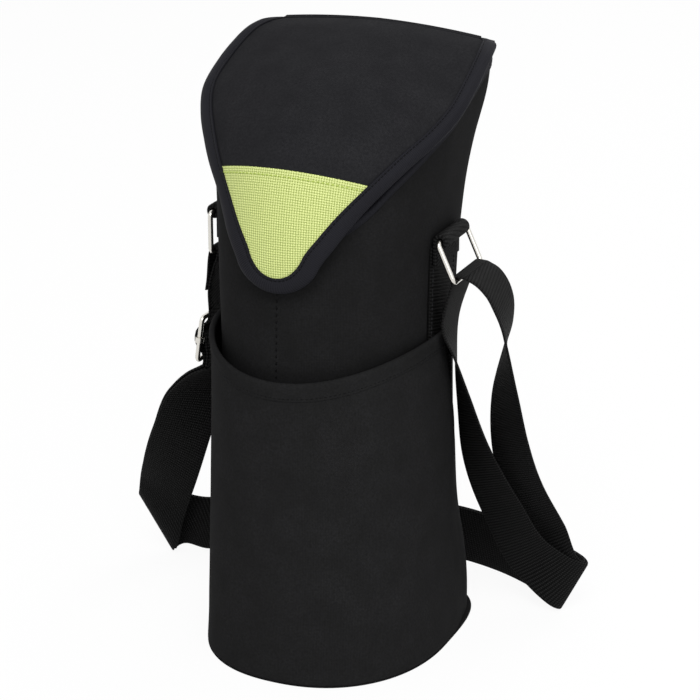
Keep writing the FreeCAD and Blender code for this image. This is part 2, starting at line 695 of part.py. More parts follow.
def flap_stations():
    """Edge points, crown and arc of every station from the fold to just above the tip."""
    stations = []
    for width, reach_share, drop_share, crown, tilt in FLAP_STATION_SHARES:
        x = width * (size("base_width") / 2 + size("flap_side_stand"))
        y, z = flap_place(reach_share, drop_share)
        rise = crown * size("flap_crown")
        lift = Vector(0, -math.cos(math.radians(tilt)), math.sin(math.radians(tilt)))
        radius = (x * x + rise * rise) / (2 * rise)
        centre = Vector(0, y, z) + lift * (rise - radius)
        stations.append({"x": x, "y": y, "z": z, "lift": lift, "radius": radius, "centre": centre,
                         "half_angle": math.asin(x / radius)})
    return stations


def arc_point(station, drop, angle):
    """Point of a station's arc, lowered by the drop towards its centre."""
    radial = Vector(math.sin(angle), 0, 0) + station["lift"] * math.cos(angle)
    return station["centre"] + radial * (station["radius"] - drop)


def arc_inward(station):
    """Direction along a station's arc from its right edge towards the middle."""
    angle = station["half_angle"]
    return station["lift"] * math.sin(angle) - Vector(math.cos(angle), 0, 0)


def edge_frames():
    """Along the right edge from fold to tip: point, outward normal and direction into the flap."""
    stations = flap_stations()
    points = [arc_point(station, 0, station["half_angle"]) for station in stations]
    tip = Vector(0, *flap_place(*FLAP_TIP_SHARES))
    mirrored = Vector(-points[-1].x, points[-1].y, points[-1].z)
    ahead = points + [tip, mirrored]
    frames = []
    for index in range(len(points) + 1):
        run = ahead[index + 1] - ahead[max(index - 1, 0)]
        run.normalize()
        if index < len(stations):
            normal = arc_inward(stations[index]).cross(run).normalize()
        else:
            normal = FRONT
        inward = run.cross(normal).normalize()
        if index < len(stations) and inward.x > 0:
            inward = inward * -1
        if index == len(stations) and inward.z < 0:
            inward = inward * -1
        frames.append((ahead[index], normal, inward))
    return frames


def trimmed_angle(station, frame, inset):
    """Half angle of a station's arc, stopped the inset short of the flap's edge."""
    point, normal, inward = frame
    slope = max(abs(inward.dot(arc_inward(station))), STEEPEST_EDGE_SHARE)
    return station["half_angle"] - inset / slope / station["radius"]


def flap_sheet(first, last, outer_drop, inner_drop, inset):
    """One layer of the flap between two stations, between two depths below the outer face."""
    stations, frames = flap_stations(), edge_frames()
    wires = []
    for station, frame in list(zip(stations, frames))[first:last]:
        half = trimmed_angle(station, frame, inset)
        wires.append(arc_strip(station, outer_drop, inner_drop, half))
    return Part.makeLoft(wires, True, True)


def arc_strip(station, outer_drop, inner_drop, half):
    """Closed section between two arcs of a station."""
    outer = [arc_point(station, outer_drop, angle) for angle in (-half, 0, half)]
    inner = [arc_point(station, inner_drop, angle) for angle in (half, 0, -half)]
    edges = [Part.Arc(*outer).toShape(), Part.LineSegment(outer[2], inner[0]).toShape(),
             Part.Arc(*inner).toShape(), Part.LineSegment(inner[2], outer[0]).toShape()]
    return Part.Wire(edges)


def flap_depths():
    """Depth below the flap's outer face where each layer begins and ends."""
    gap = size("flap_gap")
    foam = size("flap_outer_thick") + gap
    lining = foam + size("flap_foam_thick") + gap
    return {"flap_outer": (0, size("flap_outer_thick")), "flap_foam": (foam, foam + size("flap_foam_thick")),
            "flap_lining": (lining, lining + size("flap_lining_thick"))}


def flap_layers():
    count = len(FLAP_STATION_SHARES)
    for label, (outer, inner) in flap_depths().items():
        add_feature(label, flap_sheet(0, count, outer, inner, size("flap_edge_inset")))
    gap = size("flap_gap")
    edge = size("flap_binding_width") + size("flap_binding_room")
    add_feature("flap_accent", flap_sheet(ACCENT_FIRST_STATION, count - 1, -gap - size("accent_thick"), -gap, edge))


def channel_wire(frame):
    """Section of the tape folded round the flap's edge."""
    point, normal, inward = frame
    room, tape, width = size("flap_binding_room"), size("flap_binding_thick"), size("flap_binding_width")
    lap = size("flap_binding_under")
    under = flap_depths()["flap_lining"][1]
    steps = ((width, room + tape), (-room - tape, room + tape), (-room - tape, -under - room - tape),
             (lap, -under - room - tape), (lap, -under - room), (-room, -under - room), (-room, room),
             (width, room))
    corners = [point + inward * across + normal * up for across, up in steps]
    return Part.makePolygon(corners + corners[:1])


def mirror_frame(frame):
    return tuple(Vector(-item.x, item.y, item.z) for item in frame)


def flap_binding():
    frames = edge_frames()
    ring = frames + [mirror_frame(frame) for frame in reversed(frames[:-1])]
    add_feature("flap_binding", Part.makeLoft([channel_wire(frame) for frame in ring], True, True))


# Closing tape
def closing_tape():
    gap = size("layer_gap")
    rim = size("carrier_height") - size("mouth_back_drop") - size("mouth_front_drop")
    high, half = rim - size("tape_below_mouth"), size("tape_half_width")
    window = slab(-half, half, -reach(), 0, high - size("tape_long"), high)
    loop = body_form(-gap - size("loop_thick")).cut(body_form(-gap)).common(window)
    add_feature("loop_tape", loop)
    depth = flap_depths()["flap_lining"][1] + size("flap_gap")
    stations = flap_stations()[TAPE_FIRST_STATION - 1:]
    wires = []
    for station in stations[:TAPE_STATIONS]:
        wires.append(arc_strip(station, depth, depth + size("hook_thick"), half / station["radius"]))
    add_feature("hook_tape", Part.makeLoft(wires, True, True).common(window))


PIECES = ("outer_front_panel", "outer_back_panel", "insulation_sleeve", "lining_sleeve", "lining_base", "base_panel",
          "base_board", "base_foam", "mouth_binding", "pocket_panel", "side_web_left", "side_web_right",
          "ring_tab_left", "ring_tab_right", "loop_tape", "flap_outer", "flap_foam", "flap_lining", "flap_binding",
          "flap_accent", "hook_tape", "ring_left", "ring_right", "slider_frame", "slider_bar", "strap_sewn_end",
          "strap_slider_pass", "strap_slider_loop", "strap_front_layer", "strap_rear_layer", "strap_ring_pass")


def build():
    fill_sheet()
    outer_panels()
    inner_walls()
    base_pieces()
    mouth_binding()
    pocket()
    side_webs()
    ring_tab("ring_tab_left", -1)
    ring_tab("ring_tab_right", 1)
    rings()
    slider()
    sewn_end()
    slider_pass()
    slider_loop()
    free_strap(*ring_pass())
    flap_layers()
    flap_binding()
    closing_tape()
    doc.recompute()


def write_pieces():
    for item in doc.Objects:
        if "Invalid" in item.State or "Error" in item.State:
            raise RuntimeError(f"{item.Name} did not build: {item.State}")
    os.makedirs("parts", exist_ok=True)
    for label in PIECES:
        item = doc.getObjectsByLabel(label)[0]
        if item.Shape.isNull() or not item.Shape.isValid():
            raise RuntimeError(f"{label} has no valid shape")
        print(label, "solids", len(item.Shape.Solids), "volume", round(item.Shape.Volume, 1))
        item.Shape.exportStep(f"parts/{label}.step")


build()
write_pieces()
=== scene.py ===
# Insulated bottle carrier: cloth, webbing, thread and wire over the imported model, in metres and in its frame.
import math
import bmesh
import bpy
import numpy as np
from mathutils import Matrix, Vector, noise
from mathutils.bvhtree import BVHTree


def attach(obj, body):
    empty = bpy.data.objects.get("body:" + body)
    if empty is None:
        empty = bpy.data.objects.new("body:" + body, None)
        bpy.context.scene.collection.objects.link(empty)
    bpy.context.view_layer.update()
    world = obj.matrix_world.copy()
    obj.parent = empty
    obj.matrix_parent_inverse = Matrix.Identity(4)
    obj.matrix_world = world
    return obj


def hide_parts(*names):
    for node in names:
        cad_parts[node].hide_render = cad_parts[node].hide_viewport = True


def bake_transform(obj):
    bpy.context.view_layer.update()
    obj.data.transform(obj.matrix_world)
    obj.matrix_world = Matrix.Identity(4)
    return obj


MM = 0.001
TINY = 1e-12
HALF_TURN = 180
QUARTER_TURN = 90
UP = Vector((0, 0, 1))
DEPTH = Vector((0, 1, 0))
RIGHT = Vector((1, 0, 0))

# Carrier body: height, half width, front and back depth as shares, then front and back roundness powers
CARRIER_HEIGHT = 350 * MM
BASE_HALF_WIDTH = 70 * MM
BASE_FRONT = 81.5 * MM
BASE_BACK = 78 * MM
BODY_LEVEL_SHARES = (
    (0.000, 1.000, 1.000, 1.000, 2.00, 3.6),
    (0.086, 0.975, 0.945, 0.942, 2.00, 4.0),
    (0.229, 0.943, 0.896, 0.885, 2.00, 3.3),
    (0.409, 0.936, 0.883, 0.859, 2.00, 2.9),
    (0.586, 0.921, 0.865, 0.846, 2.00, 3.1),
    (0.706, 0.921, 0.840, 0.846, 2.00, 3.4),
    (0.857, 0.998, 0.804, 0.846, 1.75, 4.6),
    (0.931, 1.043, 0.798, 0.846, 1.70, 6.4),
    (1.000, 1.060, 0.785, 0.846, 1.70, 8.0),
)
# How far the soft sides are drawn in, at shares of the height: left, then right, as shares of the half width
SIDE_DRAW_SHARES = (
    (0.00, 0.060, 0.022),
    (0.05, 0.062, 0.018),
    (0.10, 0.052, 0.020),
    (0.20, 0.030, 0.036),
    (0.30, 0.028, 0.034),
    (0.45, 0.040, 0.026),
    (0.55, 0.036, 0.018),
    (0.65, 0.020, 0.006),
    (0.72, 0.012, 0.000),
    (0.85, 0.000, -0.006),
    (0.93, 0.000, -0.016),
    (1.00, 0.000, -0.012),
)
WALL_LOW = 1.45 * MM
RING_FINE = 2880
WALL_LEVELS = 141
WALL_COLUMNS = 200
WALL_ROWS = 110
HEIGHT_HALVINGS = 24
CLOTH_THICK = 1.0 * MM
CLOTH_RECESS = 0.6 * MM
CLOTH_HOLLOW = 0.5 * MM
CLOTH_WAVE = 55 * MM
CLOTH_SEED = 3.0
CLOTH_RIM = 0.3 * MM
INSULATION_INSET = 1.25 * MM
INSULATION_THICK = 3.5 * MM
INSULATION_RECESS = 4.0 * MM
LINING_INSET = 5.0 * MM
LINING_THICK = 0.6 * MM
LINING_LOW = 7.7 * MM
LINING_RECESS = 6.5 * MM
SLEEVE_ROWS = 40
# The front seam lies this many columns left of the middle
SEAM_SHIFT = 1
SEAM_LOW = 150 * MM
SEAM_HIGH = 250 * MM
THREAD_LIFT = 0.15 * MM

# Mouth line in side view: reach and drop from back to front, as shares
MOUTH_BACK_DROP = 7.5 * MM
MOUTH_FRONT_DROP = 78.5 * MM
MOUTH_FRONT_LEVEL = 5
MOUTH_SHARES = (
    (-0.3, -0.03), (0.0, 0.0), (0.176, 0.041), (0.347, 0.169), (0.489, 0.289), (0.608, 0.422),
    (0.698, 0.555), (0.780, 0.689), (0.855, 0.838), (0.922, 0.950), (1.0, 1.0), (1.3, 1.1),
)
RIM_STEP = 4 * MM
# Sections of the tape and the hem in millimetres: out from the wall, and up from the rim
MOUTH_TAPE_PROFILE = (
    (0.35, -4.6), (0.8, -4.4), (0.9, -3.8), (0.7, -3.2), (1.0, -2.2), (1.0, -1.0), (0.7, 0.5), (-0.8, 1.3),
    (-2.6, 1.5), (-4.6, 1.3), (-6.6, 0.6), (-7.6, -1.2), (-7.9, -4.0), (-7.7, -7.4), (-7.6, -8.8),
    (-7.0, -9.0),
)
POCKET_HEM_PROFILE = (
    (0.1, -9.0), (0.35, -8.6), (0.45, -7.9), (0.3, -7.2), (0.45, -6.4), (0.6, -3.4), (1.2, -1.4), (1.3, 0.4),
    (0.5, 1.6), (-0.8, 1.8), (-1.9, 1.0), (-2.2, -0.6), (-1.8, -3.0),
)
POCKET_HEM_SEAM = (0.3, -7.2)

# Pocket: front depth and roundness powers at the body's levels
POCKET_FRONT = 83.4 * MM
POCKET_FRONT_SHARES = (1.000, 1.001, 0.989, 0.977, 0.966, 0.955, 0.955, 0.955, 0.955)
POCKET_ROUNDNESS = (2.20, 2.14, 2.06, 2.05, 2.05, 2.05, 2.05, 2.05, 2.05)
POCKET_LEFT_ROUNDNESS = (2.30, 2.26, 2.16, 2.08, 2.05, 2.05, 2.05, 2.05, 2.05)
POCKET_SIDE_STAND = 3.8 * MM
POCKET_HEIGHT = 181 * MM
POCKET_SIDE_RISE = 14 * MM
# Side edges of the pocket: heights, and how far back the edge lies there
POCKET_EDGE_HEIGHTS = (0, 70 * MM, 115 * MM, 150 * MM, 185 * MM, 350 * MM)
POCKET_EDGE_BACKS = (58 * MM, 52 * MM, 38 * MM, 18 * MM, 6 * MM, 6 * MM)
POCKET_TUCK = 1.9 * MM
POCKET_TUCK_BACKS = (18 * MM, 34 * MM)
POCKET_THICK = 1.6 * MM
POCKET_ROWS = 90
POCKET_COLUMNS = 161
POCKET_HOLLOW = 0.7 * MM
POCKET_WAVE = 70 * MM
POCKET_SEED = 8.0
POCKET_RIM = 0.5 * MM

# Base: sections as shares of the outline, with heights in millimetres
BASE_SIDE_LEDGE = 3.9 * MM
BASE_LEDGE = 1.9 * MM
BOARD_INSET = 5.75 * MM
BASE_LINING_INSET = 6.7 * MM
BASE_SECTION = (
    (0.02, 0), (0.3, 0), (0.6, 0), (0.9, 0), (0.985, 0), (0.996, 0.2), (1.0, 0.7), (0.996, 1.15),
    (0.97, 1.2), (0.6, 1.2), (0.02, 1.2),
)
BOARD_SECTION = (
    (0.02, 1.45), (0.99, 1.45), (0.998, 1.6), (1.0, 1.9), (1.0, 3.0), (0.998, 3.3), (0.99, 3.45),
    (0.02, 3.45),
)
BASE_FOAM_SECTION = (
    (0.02, 3.7), (0.98, 3.7), (0.995, 4.1), (1.0, 5.0), (1.0, 6.0), (0.995, 6.8), (0.98, 7.2), (0.02, 7.2),
)
BASE_LINING_SECTION = ((0.02, 7.5), (0.99, 7.5), (1.0, 7.7), (1.0, 7.9), (0.99, 8.1), (0.02, 8.1))

# Flap stations: half width, reach, drop and crown as shares, then the crown's tilt from level in degrees
FLAP_HALF_WIDTH = 78.5 * MM
FLAP_FOLD_Y = 64.7 * MM
FLAP_FOLD_Z = 349.3 * MM
FLAP_REACH = 140 * MM
FLAP_DROP = 116.5 * MM
FLAP_CROWN = 26 * MM
FLAP_STATION_SHARES = (
    (0.911, 0.000, 0.000, 0.173, 90),
    (0.940, 0.070, 0.006, 0.220, 88),
    (0.971, 0.157, 0.028, 0.308, 85),
    (0.988, 0.247, 0.073, 0.415, 81),
    (0.998, 0.354, 0.135, 0.538, 75),
    (0.981, 0.514, 0.240, 0.769, 62),
    (0.904, 0.614, 0.326, 0.923, 52),
    (0.795, 0.707, 0.412, 1.000, 40),
    (0.688, 0.779, 0.498, 0.962, 27),
    (0.573, 0.843, 0.592, 0.788, 14),
    (0.471, 0.907, 0.687, 0.531, 4),
    (0.395, 0.950, 0.768, 0.335, 0),
    (0.314, 0.979, 0.850, 0.190, 0),
    (0.266, 0.989, 0.910, 0.125, 0),
    (0.186, 0.995, 0.961, 0.070, 0),
)
# The tip: its reach and drop as shares, and its crown's slope
FLAP_TIP_SHARES = (1.002, 1.0)
FLAP_TIP_SLOPE = 0.10
FLAP_LEAST_HALF = 0.01 * MM
# The left end of the fold sits further in, and the right end lower, which fades out along the flap
FLAP_TUCK = 0.055
FLAP_TUCK_REACH = 0.30
FLAP_RIGHT_DROOP = 1.2 * MM
FLAP_PAD_THICK = 2.7 * MM
FLAP_PAD_END = 0.997
FLAP_PAD_SIDE = 0.985
FLAP_PAD_ROWS = 130
FLAP_PAD_COLUMNS = 61
FLAP_HOLLOW = 0.45 * MM
FLAP_WAVE = 40 * MM
FLAP_SEED = 5.0
FLAP_LINING_DROP = 2.9 * MM
FLAP_LINING_THICK = 0.6 * MM
FLAP_LINING_START = 0.045
FLAP_LINING_END = 0.99
FLAP_LINING_SIDE = 0.95
FLAP_LINING_ROWS = 80
FLAP_LINING_COLUMNS = 41

# Section of the flap's tape: on its face as shares of its width, round the edge in millimetres, then the rise
FLAP_TAPE_PROFILE = (
    (1.0, 0.2), (0.99, 1.0), (0.95, 1.15), (0.88, 1.1), (0.82, 0.65), (0.76, 1.1), (0.6, 1.7), (0.4, 1.8),
    (0.2, 1.5), (0.05, 1.0), (-0.6, 0.3), (-1.0, -0.8), (-1.0, -2.2), (-0.6, -3.4), (0.3, -4.1), (2.0, -4.4),
    (4.0, -4.3), (4.0, -3.6),
)
FLAP_TAPE_SEAM = (0.82, 0.75)
FLAP_TAPE_ALONG = (0, 0.45, 0.62, 0.8, 1)
FLAP_TAPE_WIDTHS = (7.0 * MM, 7.2 * MM, 9.0 * MM, 9.8 * MM, 10.2 * MM)
FLAP_TAPE_LEFT_WIDTHS = (7.5 * MM, 10.0 * MM, 15.0 * MM, 12.0 * MM, 10.2 * MM)
# The tape lies flatter near the fold, and its ends are cut round there
FLAP_TAPE_TAPER = 0.05
FLAP_TAPE_FLAT = 0.3
FLAP_TAPE_END = 0.035
FLAP_TAPE_END_CUT = 4.0 * MM
FLAP_TAPE_EASE = 10
# Where the edge's normals are read: steps along it, shares along and across, and the spans read over
FLAP_EDGE_STEPS = 161
FLAP_NORMAL_END = 0.985
FLAP_NORMAL_SIDE = 0.9
FLAP_NORMAL_ACROSS = 0.01
FLAP_NORMAL_ALONG = 0.004
FLAP_INWARD_BACK = 0.12

# Lime panel on the tongue
ACCENT_STATION = 8
ACCENT_LIFT = 0.45 * MM
ACCENT_THICK = 0.5 * MM
ACCENT_SIDE = 0.97
ACCENT_END = 0.99
ACCENT_COLUMNS = 49
ACCENT_ROWS = 70
ACCENT_TOP_DROP = 2.6 * MM
ACCENT_TOP_SAG = 1.5 * MM
ACCENT_HEM = 3.3 * MM
ACCENT_RIM = 0.15 * MM
# Columns that the panel's stitches show between
ACCENT_SEAM = slice(2, -4)

# Closing tape under the tongue
TAPE_STAND = 1.25 * MM
TAPE_HALF = 8.5 * MM
TAPE_LOW = 243 * MM
TAPE_HIGH = 254 * MM
TAPE_THICK = 1.0 * MM
TAPE_RIM = 0.3 * MM
TAPE_COLUMNS = 9
TAPE_ROWS = 8
HOOK_DROP = 4.6 * MM
# Flap stations of the tongue, from the tip upwards
TONGUE_STATIONS = slice(-2, 8, -1)

# Strip that joins the flap to the back
FOLD_STAND = 1.2 * MM
FOLD_LIFT = 0.3 * MM
FOLD_ON_FLAP = (0.0, 0.008, 0.016)
FOLD_LOW = 322 * MM
FOLD_HIGH = 342 * MM
FOLD_THICK = 0.9 * MM
FOLD_SIDE = 0.87
FOLD_COLUMNS = 41
FOLD_LEVELS = 6
FOLD_ROWS = 37
FOLD_SEAM_ROWS = (3, 7)

# Webbing: its section as shares of the width and of half the thickness
WEB_WIDTH = 35 * MM
WEB_THICK = 1.5 * MM
WEB_Y = 5 * MM
WEB_RIM = 0.4 * MM
WEB_SECTION_SHARES = (
    (0.0, 0.0), (0.006, 0.6), (0.03, 0.95), (0.15, 1.0), (0.3, 1.0), (0.5, 1.0), (0.7, 1.0), (0.85, 1.0),
    (0.97, 0.95), (0.994, 0.6), (1.0, 0.0), (0.994, -0.6), (0.97, -0.95), (0.85, -1.0), (0.7, -1.0),
    (0.5, -1.0), (0.3, -1.0), (0.15, -1.0), (0.03, -0.95), (0.006, -0.6),
)
RIBBON_STEP = 2.5 * MM
SIDE_WEB_GAP = 0.25 * MM
SIDE_WEB_SHORT = 4 * MM
SIDE_WEB_COLUMNS = 15
SIDE_WEB_ROWS = 60
SIDE_WEB_SEAMS = (1, -2)

# Rings in their tabs
WIRE_RADIUS = 1.5 * MM
WIRE_ROUNDNESS = 4
CORNER_STEPS = 6
PIN_GAP = 0.2 * MM
WEB_WRAP = WIRE_RADIUS + PIN_GAP + WEB_THICK / 2
RING_HALF = 20.5 * MM
RING_CORNER = 3 * MM
RING_PITCH = 23.6 * MM
RING_RIGHT_LEAN = 25.0
TAB_X = 69.8 * MM
TAB_Z = 252 * MM
TAB_THICK = 2.6 * MM
TAB_LEG = 15 * MM
TAB_LEG_SHARES = (1.0, 0.75, 0.5, 0.25)
TAB_TURN_END = -150
TAB_TURN_STEPS = 22
RING_PASS_ENTER = 172.0
RING_PASS_LEAVE = 87.0
RING_PASS_STEPS = 8
RING_PASS_LEG = 3 * MM
RING_PASS_REACH = 5 * MM
RING_PASS_SHARES = (0.5, 1.0)

# Slider, and the strap's ends at it and at the left ring
SLIDER_X = -78.5 * MM
SLIDER_Z = 174 * MM
SLIDER_PITCH = 27 * MM
SLIDER_LEAN = 8.14
SLIDER_COLLAR = 2.6 * MM
SLIDER_COLLAR_LONG = 3.2 * MM
SLIDER_WEB_SHORT = 0.3 * MM
SLIDER_CREST_GAP = 0.25 * MM
SLIDER_LOOP_START = 200
SLIDER_LOOP_END = -20
SLIDER_LOOP_STEPS = 14
STRAP_LAYER_PITCH = 1.9 * MM
STRAP_END_ROOM = 4.5 * MM
STRAP_END_STEPS = 12
# The sewn end stands off the body a little: shares of its run, and of the bulge there
STRAP_END_BULGE = 2.4 * MM
STRAP_END_SHARES = ((0.35, 1.0), (0.7, 0.6))
STRAP_TAIL_LAYERS = 1.12
STRAP_TAIL_SHARES = (0.55, 0.68)

# Free strap in millimetres, as pairs of edge points: lower or rear edge, then upper or front edge
LEFT_RISE = (
    ((-78.5, 23, 149.5), (-88, -10, 150)), ((-81, 25, 136), (-105, -3, 135)), ((-96, 30, 96), (-123, 6, 104)),
    ((-110, 38, 62), (-135, 16, 81)), ((-122.5, 44.3, 32.5), (-146, 29.8, 60)),
)
LEFT_FOLD = ((-135, 51, 1.5), (-154, 42.5, 42))
FLOOR_RUN = (
    ((-115, 61, 1), (-117, 61, 36)), ((-90, 77, 1.5), (-90, 77, 37)), ((-60, 92, 1.5), (-60, 92, 37)),
    ((-30, 103, 1.5), (-30, 103, 37)), ((2, 110, 1.5), (2, 110, 37)), ((34, 112, 1.5), (34, 112, 37)),
    ((62, 106, 1.5), (62, 106, 37)), ((90, 93, 1.5), (93, 94, 37)),
)
RIGHT_FOLD = ((117, 70.5, 1.5), (131.5, 77, 32))
FRONT_BAND = (
    ((90, 69, 20), (112, 64, 46)), ((73.7, 59, 56), (99, 48, 77)), ((63.5, 44, 103), (87, 23, 122)),
    ((63, 36, 139), (81, 8.5, 155)), ((65, 27, 170), (76, -3, 181.5)),
    ((67.8, 22.5, 198), (71.5, -11.5, 201)),
)
REAR_BAND = (
    ((96, 76, 34), (119.5, 69, 58)), ((85, 63, 68), (111, 53, 88)), ((80.5, 48, 109), (109, 31, 123)),
    ((83, 39, 146), (108, 14.5, 157)), ((94.5, 29, 184), (106, -2, 194)), ((99.5, 25, 199), (105.5, -8, 205)),
    ((100.5, 22.5, 214.5), (102.5, -12, 216)), ((97, 22.5, 223.5), (98, -12.5, 224)),
    ((91.5, 22.5, 229.8), (91.5, -12.5, 229.8)),
)
FLOOR_SPLIT = 4
FOLD_TURN_STEPS = 4
FOLD_TURN_LAYERS = 1.1
LEFT_FOLD_OUTWARD = Vector((-1, 0, -0.6))

# Stitches: pitch, length and thickness
CANVAS_STITCH = (2.6 * MM, 1.7 * MM, 0.5 * MM)
SEAM_STITCH = (3.8 * MM, 1.9 * MM, 1.0 * MM)
WEB_STITCH = (2.8 * MM, 1.9 * MM, 0.6 * MM)
TAPE_STITCH = (2.4 * MM, 1.5 * MM, 0.7 * MM)
HEM_STITCH = (2.6 * MM, 1.8 * MM, 0.7 * MM)
STITCH_SEGMENTS = 8
STITCH_RINGS = 5
RIM_SEGMENTS = 2
RIM_ANGLE = 50

# Patterns. Canvas threads of 0.5 mm and lime threads of 0.8 mm are drawn coarser, so that they show
CANVAS_THREAD = 0.9 * MM
CANVAS_SPECK = 1.3 * MM
CANVAS_MOTTLE = 16.667 * MM
CANVAS_RELIEF = 0.2 * MM
LIME_BASKET = 1.4 * MM
LIME_RELIEF = 0.3 * MM
BINDING_RIB = 1.0 * MM
BINDING_ROWS = 2.0
# Width of the painted shade band along a binding's sewn edge
BINDING_GROOVE_SHADE = 1.6 * MM
BINDING_RELIEF = 0.1 * MM
WEBBING_RIB = 1.9 * MM
WEBBING_ROWS = 1.4
WEBBING_SLANT = 14
WEBBING_RELIEF = 0.6 * MM
WIRE_SCUFF = 1.1111 * MM
LINING_CREASE = 22.222 * MM
LINING_RELIEF = 1.0 * MM
FOAM_CELL = 1.1111 * MM
PILE_TUFT = 0.7143 * MM
PILE_RELIEF = 0.5 * MM
THREAD_TWIST = 0.4 * MM
# Scale at which a wave texture repeats once for each unit
ONE_WAVE = math.pi / 10
# Share of the painted shade band along a binding's sewn edge that is darkest
GROOVE_SHADE_CORE = 0.4

# Room: lamps by name, place, width in metres and power in watts
FLOOR_REACH = 6.0
FLOOR_GLOW_SHARE = 0.92
WORLD_LIGHT = 0.55
LAMPS = (
    ("key_light", (0.5, -1.4, 2.2), 1.4, 40),
    ("fill_light", (1.6, -0.9, 1.0), 1.2, 8),
    ("back_light", (0.4, 1.7, 1.4), 1.2, 10),
)
LAMP_AIM = Vector((0, 0, 0.2))
CAMERA_PLACE = (0.5454, -1.1898, 0.661)
CAMERA_LOOK = Vector((-0.3844, 0.8548, -0.3486))
CAMERA_LENS = 125.0
CAMERA_SENSOR = 36

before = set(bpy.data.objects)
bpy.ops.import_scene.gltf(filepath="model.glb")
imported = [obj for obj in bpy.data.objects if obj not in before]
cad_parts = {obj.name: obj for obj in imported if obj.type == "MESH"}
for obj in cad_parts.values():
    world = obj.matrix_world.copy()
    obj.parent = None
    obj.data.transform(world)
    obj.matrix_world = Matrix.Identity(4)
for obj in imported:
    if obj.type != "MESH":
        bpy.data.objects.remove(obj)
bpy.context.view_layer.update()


# Small helpers
def linear(hex_code):
    """Linear colour with alpha from an sRGB hex value."""
    parts = [int(hex_code[index:index + 2], 16) / 255 for index in (1, 3, 5)]
    return [part / 12.92 if part <= 0.04045 else ((part + 0.055) / 1.055) ** 2.4 for part in parts] + [1.0]


def connect(tree, node, inputs):
    """Sets a node's inputs to values, or links them to other nodes' outputs."""
    for key, value in inputs.items():
        socket = node.inputs[key]
        if isinstance(value, bpy.types.NodeSocket):
            tree.links.new(value, socket)
        else:
            socket.default_value = value


def add(tree, kind, inputs=None, **settings):
    """A new node with its settings and inputs."""
    node = tree.nodes.new(kind)
    for name, value in settings.items():
        setattr(node, name, value)
    connect(tree, node, inputs or {})
    return node


def link_object(name, data):
    """A new object in the scene, at the origin."""
    item = bpy.data.objects.new(name, data)
    bpy.context.scene.collection.objects.link(item)
    return item


def made_mesh(source):
    """Plain mesh of an object with its modifiers or its bevel; the object goes."""
    graph = bpy.context.evaluated_depsgraph_get()
    mesh = bpy.data.meshes.new_from_object(source.evaluated_get(graph), depsgraph=graph)
    bpy.data.objects.remove(source)
    return mesh


def dress(item, material, slot, body, *nodes):
    """Gives a piece its material, the body it rides on and the nodes it stands for; its slot is not used."""
    item.data.materials.clear()
    item.data.materials.append(material)
    if body:
        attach(item, body)
    if nodes:
        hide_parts(*nodes)
    return item


def through_rows(keys, rows, at):
    """Values at the given keys, on smooth curves through the rows of a table."""
    keys, rows = np.asarray(keys, float), np.asarray(rows, float)
    at = np.clip(np.atleast_1d(np.asarray(at, float)), keys[0], keys[-1])
    steps = np.diff(keys)
    slopes = np.diff(rows, axis=0) / steps[:, None]
    tangents = np.empty_like(rows)
    tangents[0], tangents[-1] = slopes[0], slopes[-1]
    before, after = steps[:-1, None], steps[1:, None]
    tangents[1:-1] = (slopes[:-1] * after + slopes[1:] * before) / (before + after)
    index = np.clip(np.searchsorted(keys, at, side="right") - 1, 0, len(steps) - 1)
    width = steps[index][:, None]
    t = (at - keys[index])[:, None] / width
    places = rows[index] * (2 * t ** 3 - 3 * t ** 2 + 1) + rows[index + 1] * (3 * t ** 2 - 2 * t ** 3)
    return (places + tangents[index] * width * (t ** 3 - 2 * t ** 2 + t)
            + tangents[index + 1] * width * (t ** 3 - t ** 2))


def lengths(points, axis=0):
    """Distance run along a line of points, or along each line of a grid."""
    steps = np.linalg.norm(np.diff(points, axis=axis), axis=-1)
    start = np.zeros_like(np.take(steps, [0], axis=axis))
    return np.concatenate([start, np.cumsum(steps, axis=axis)], axis=axis)


def grid_normals(points, closed):
    """Outward directions of a grid whose rows go up and whose columns go round by the right."""
    if closed:
        wrapped = np.concatenate([points[:, -2:-1], points, points[:, 1:2]], axis=1)
        across = wrapped[:, 2:] - wrapped[:, :-2]
    else:
        across = np.gradient(points, axis=1)
    along = np.gradient(points, axis=0)
    normals = np.cross(across, along)
    return normals / np.maximum(np.linalg.norm(normals, axis=2, keepdims=True), TINY)


def waved(points, normals, height, wave, seed):
    """A grid moved along its normals by a smooth wave of the given height and length."""
    moved = points.copy()
    shift = Vector((seed, 2 * seed, 3 * seed))
    for index in np.ndindex(points.shape[:2]):
        moved[index] += normals[index] * (height * noise.noise(Vector(points[index]) / wave + shift))
    return moved


def grid_uv(points):
    """UV map in metres: distance round each row from its middle, and distance up from the first row."""
    across = lengths(points, axis=1)
    across -= across[:, -1:] / 2
    return np.stack([across, lengths(points)], axis=2)


def profile_uv(points):
    """UV map in metres for a section carried along a line: round the section, and along the line."""
    along = lengths(points[:, 0])[:, None]
    return np.stack([lengths(points, axis=1), np.tile(along, (1, points.shape[1]))], axis=2)


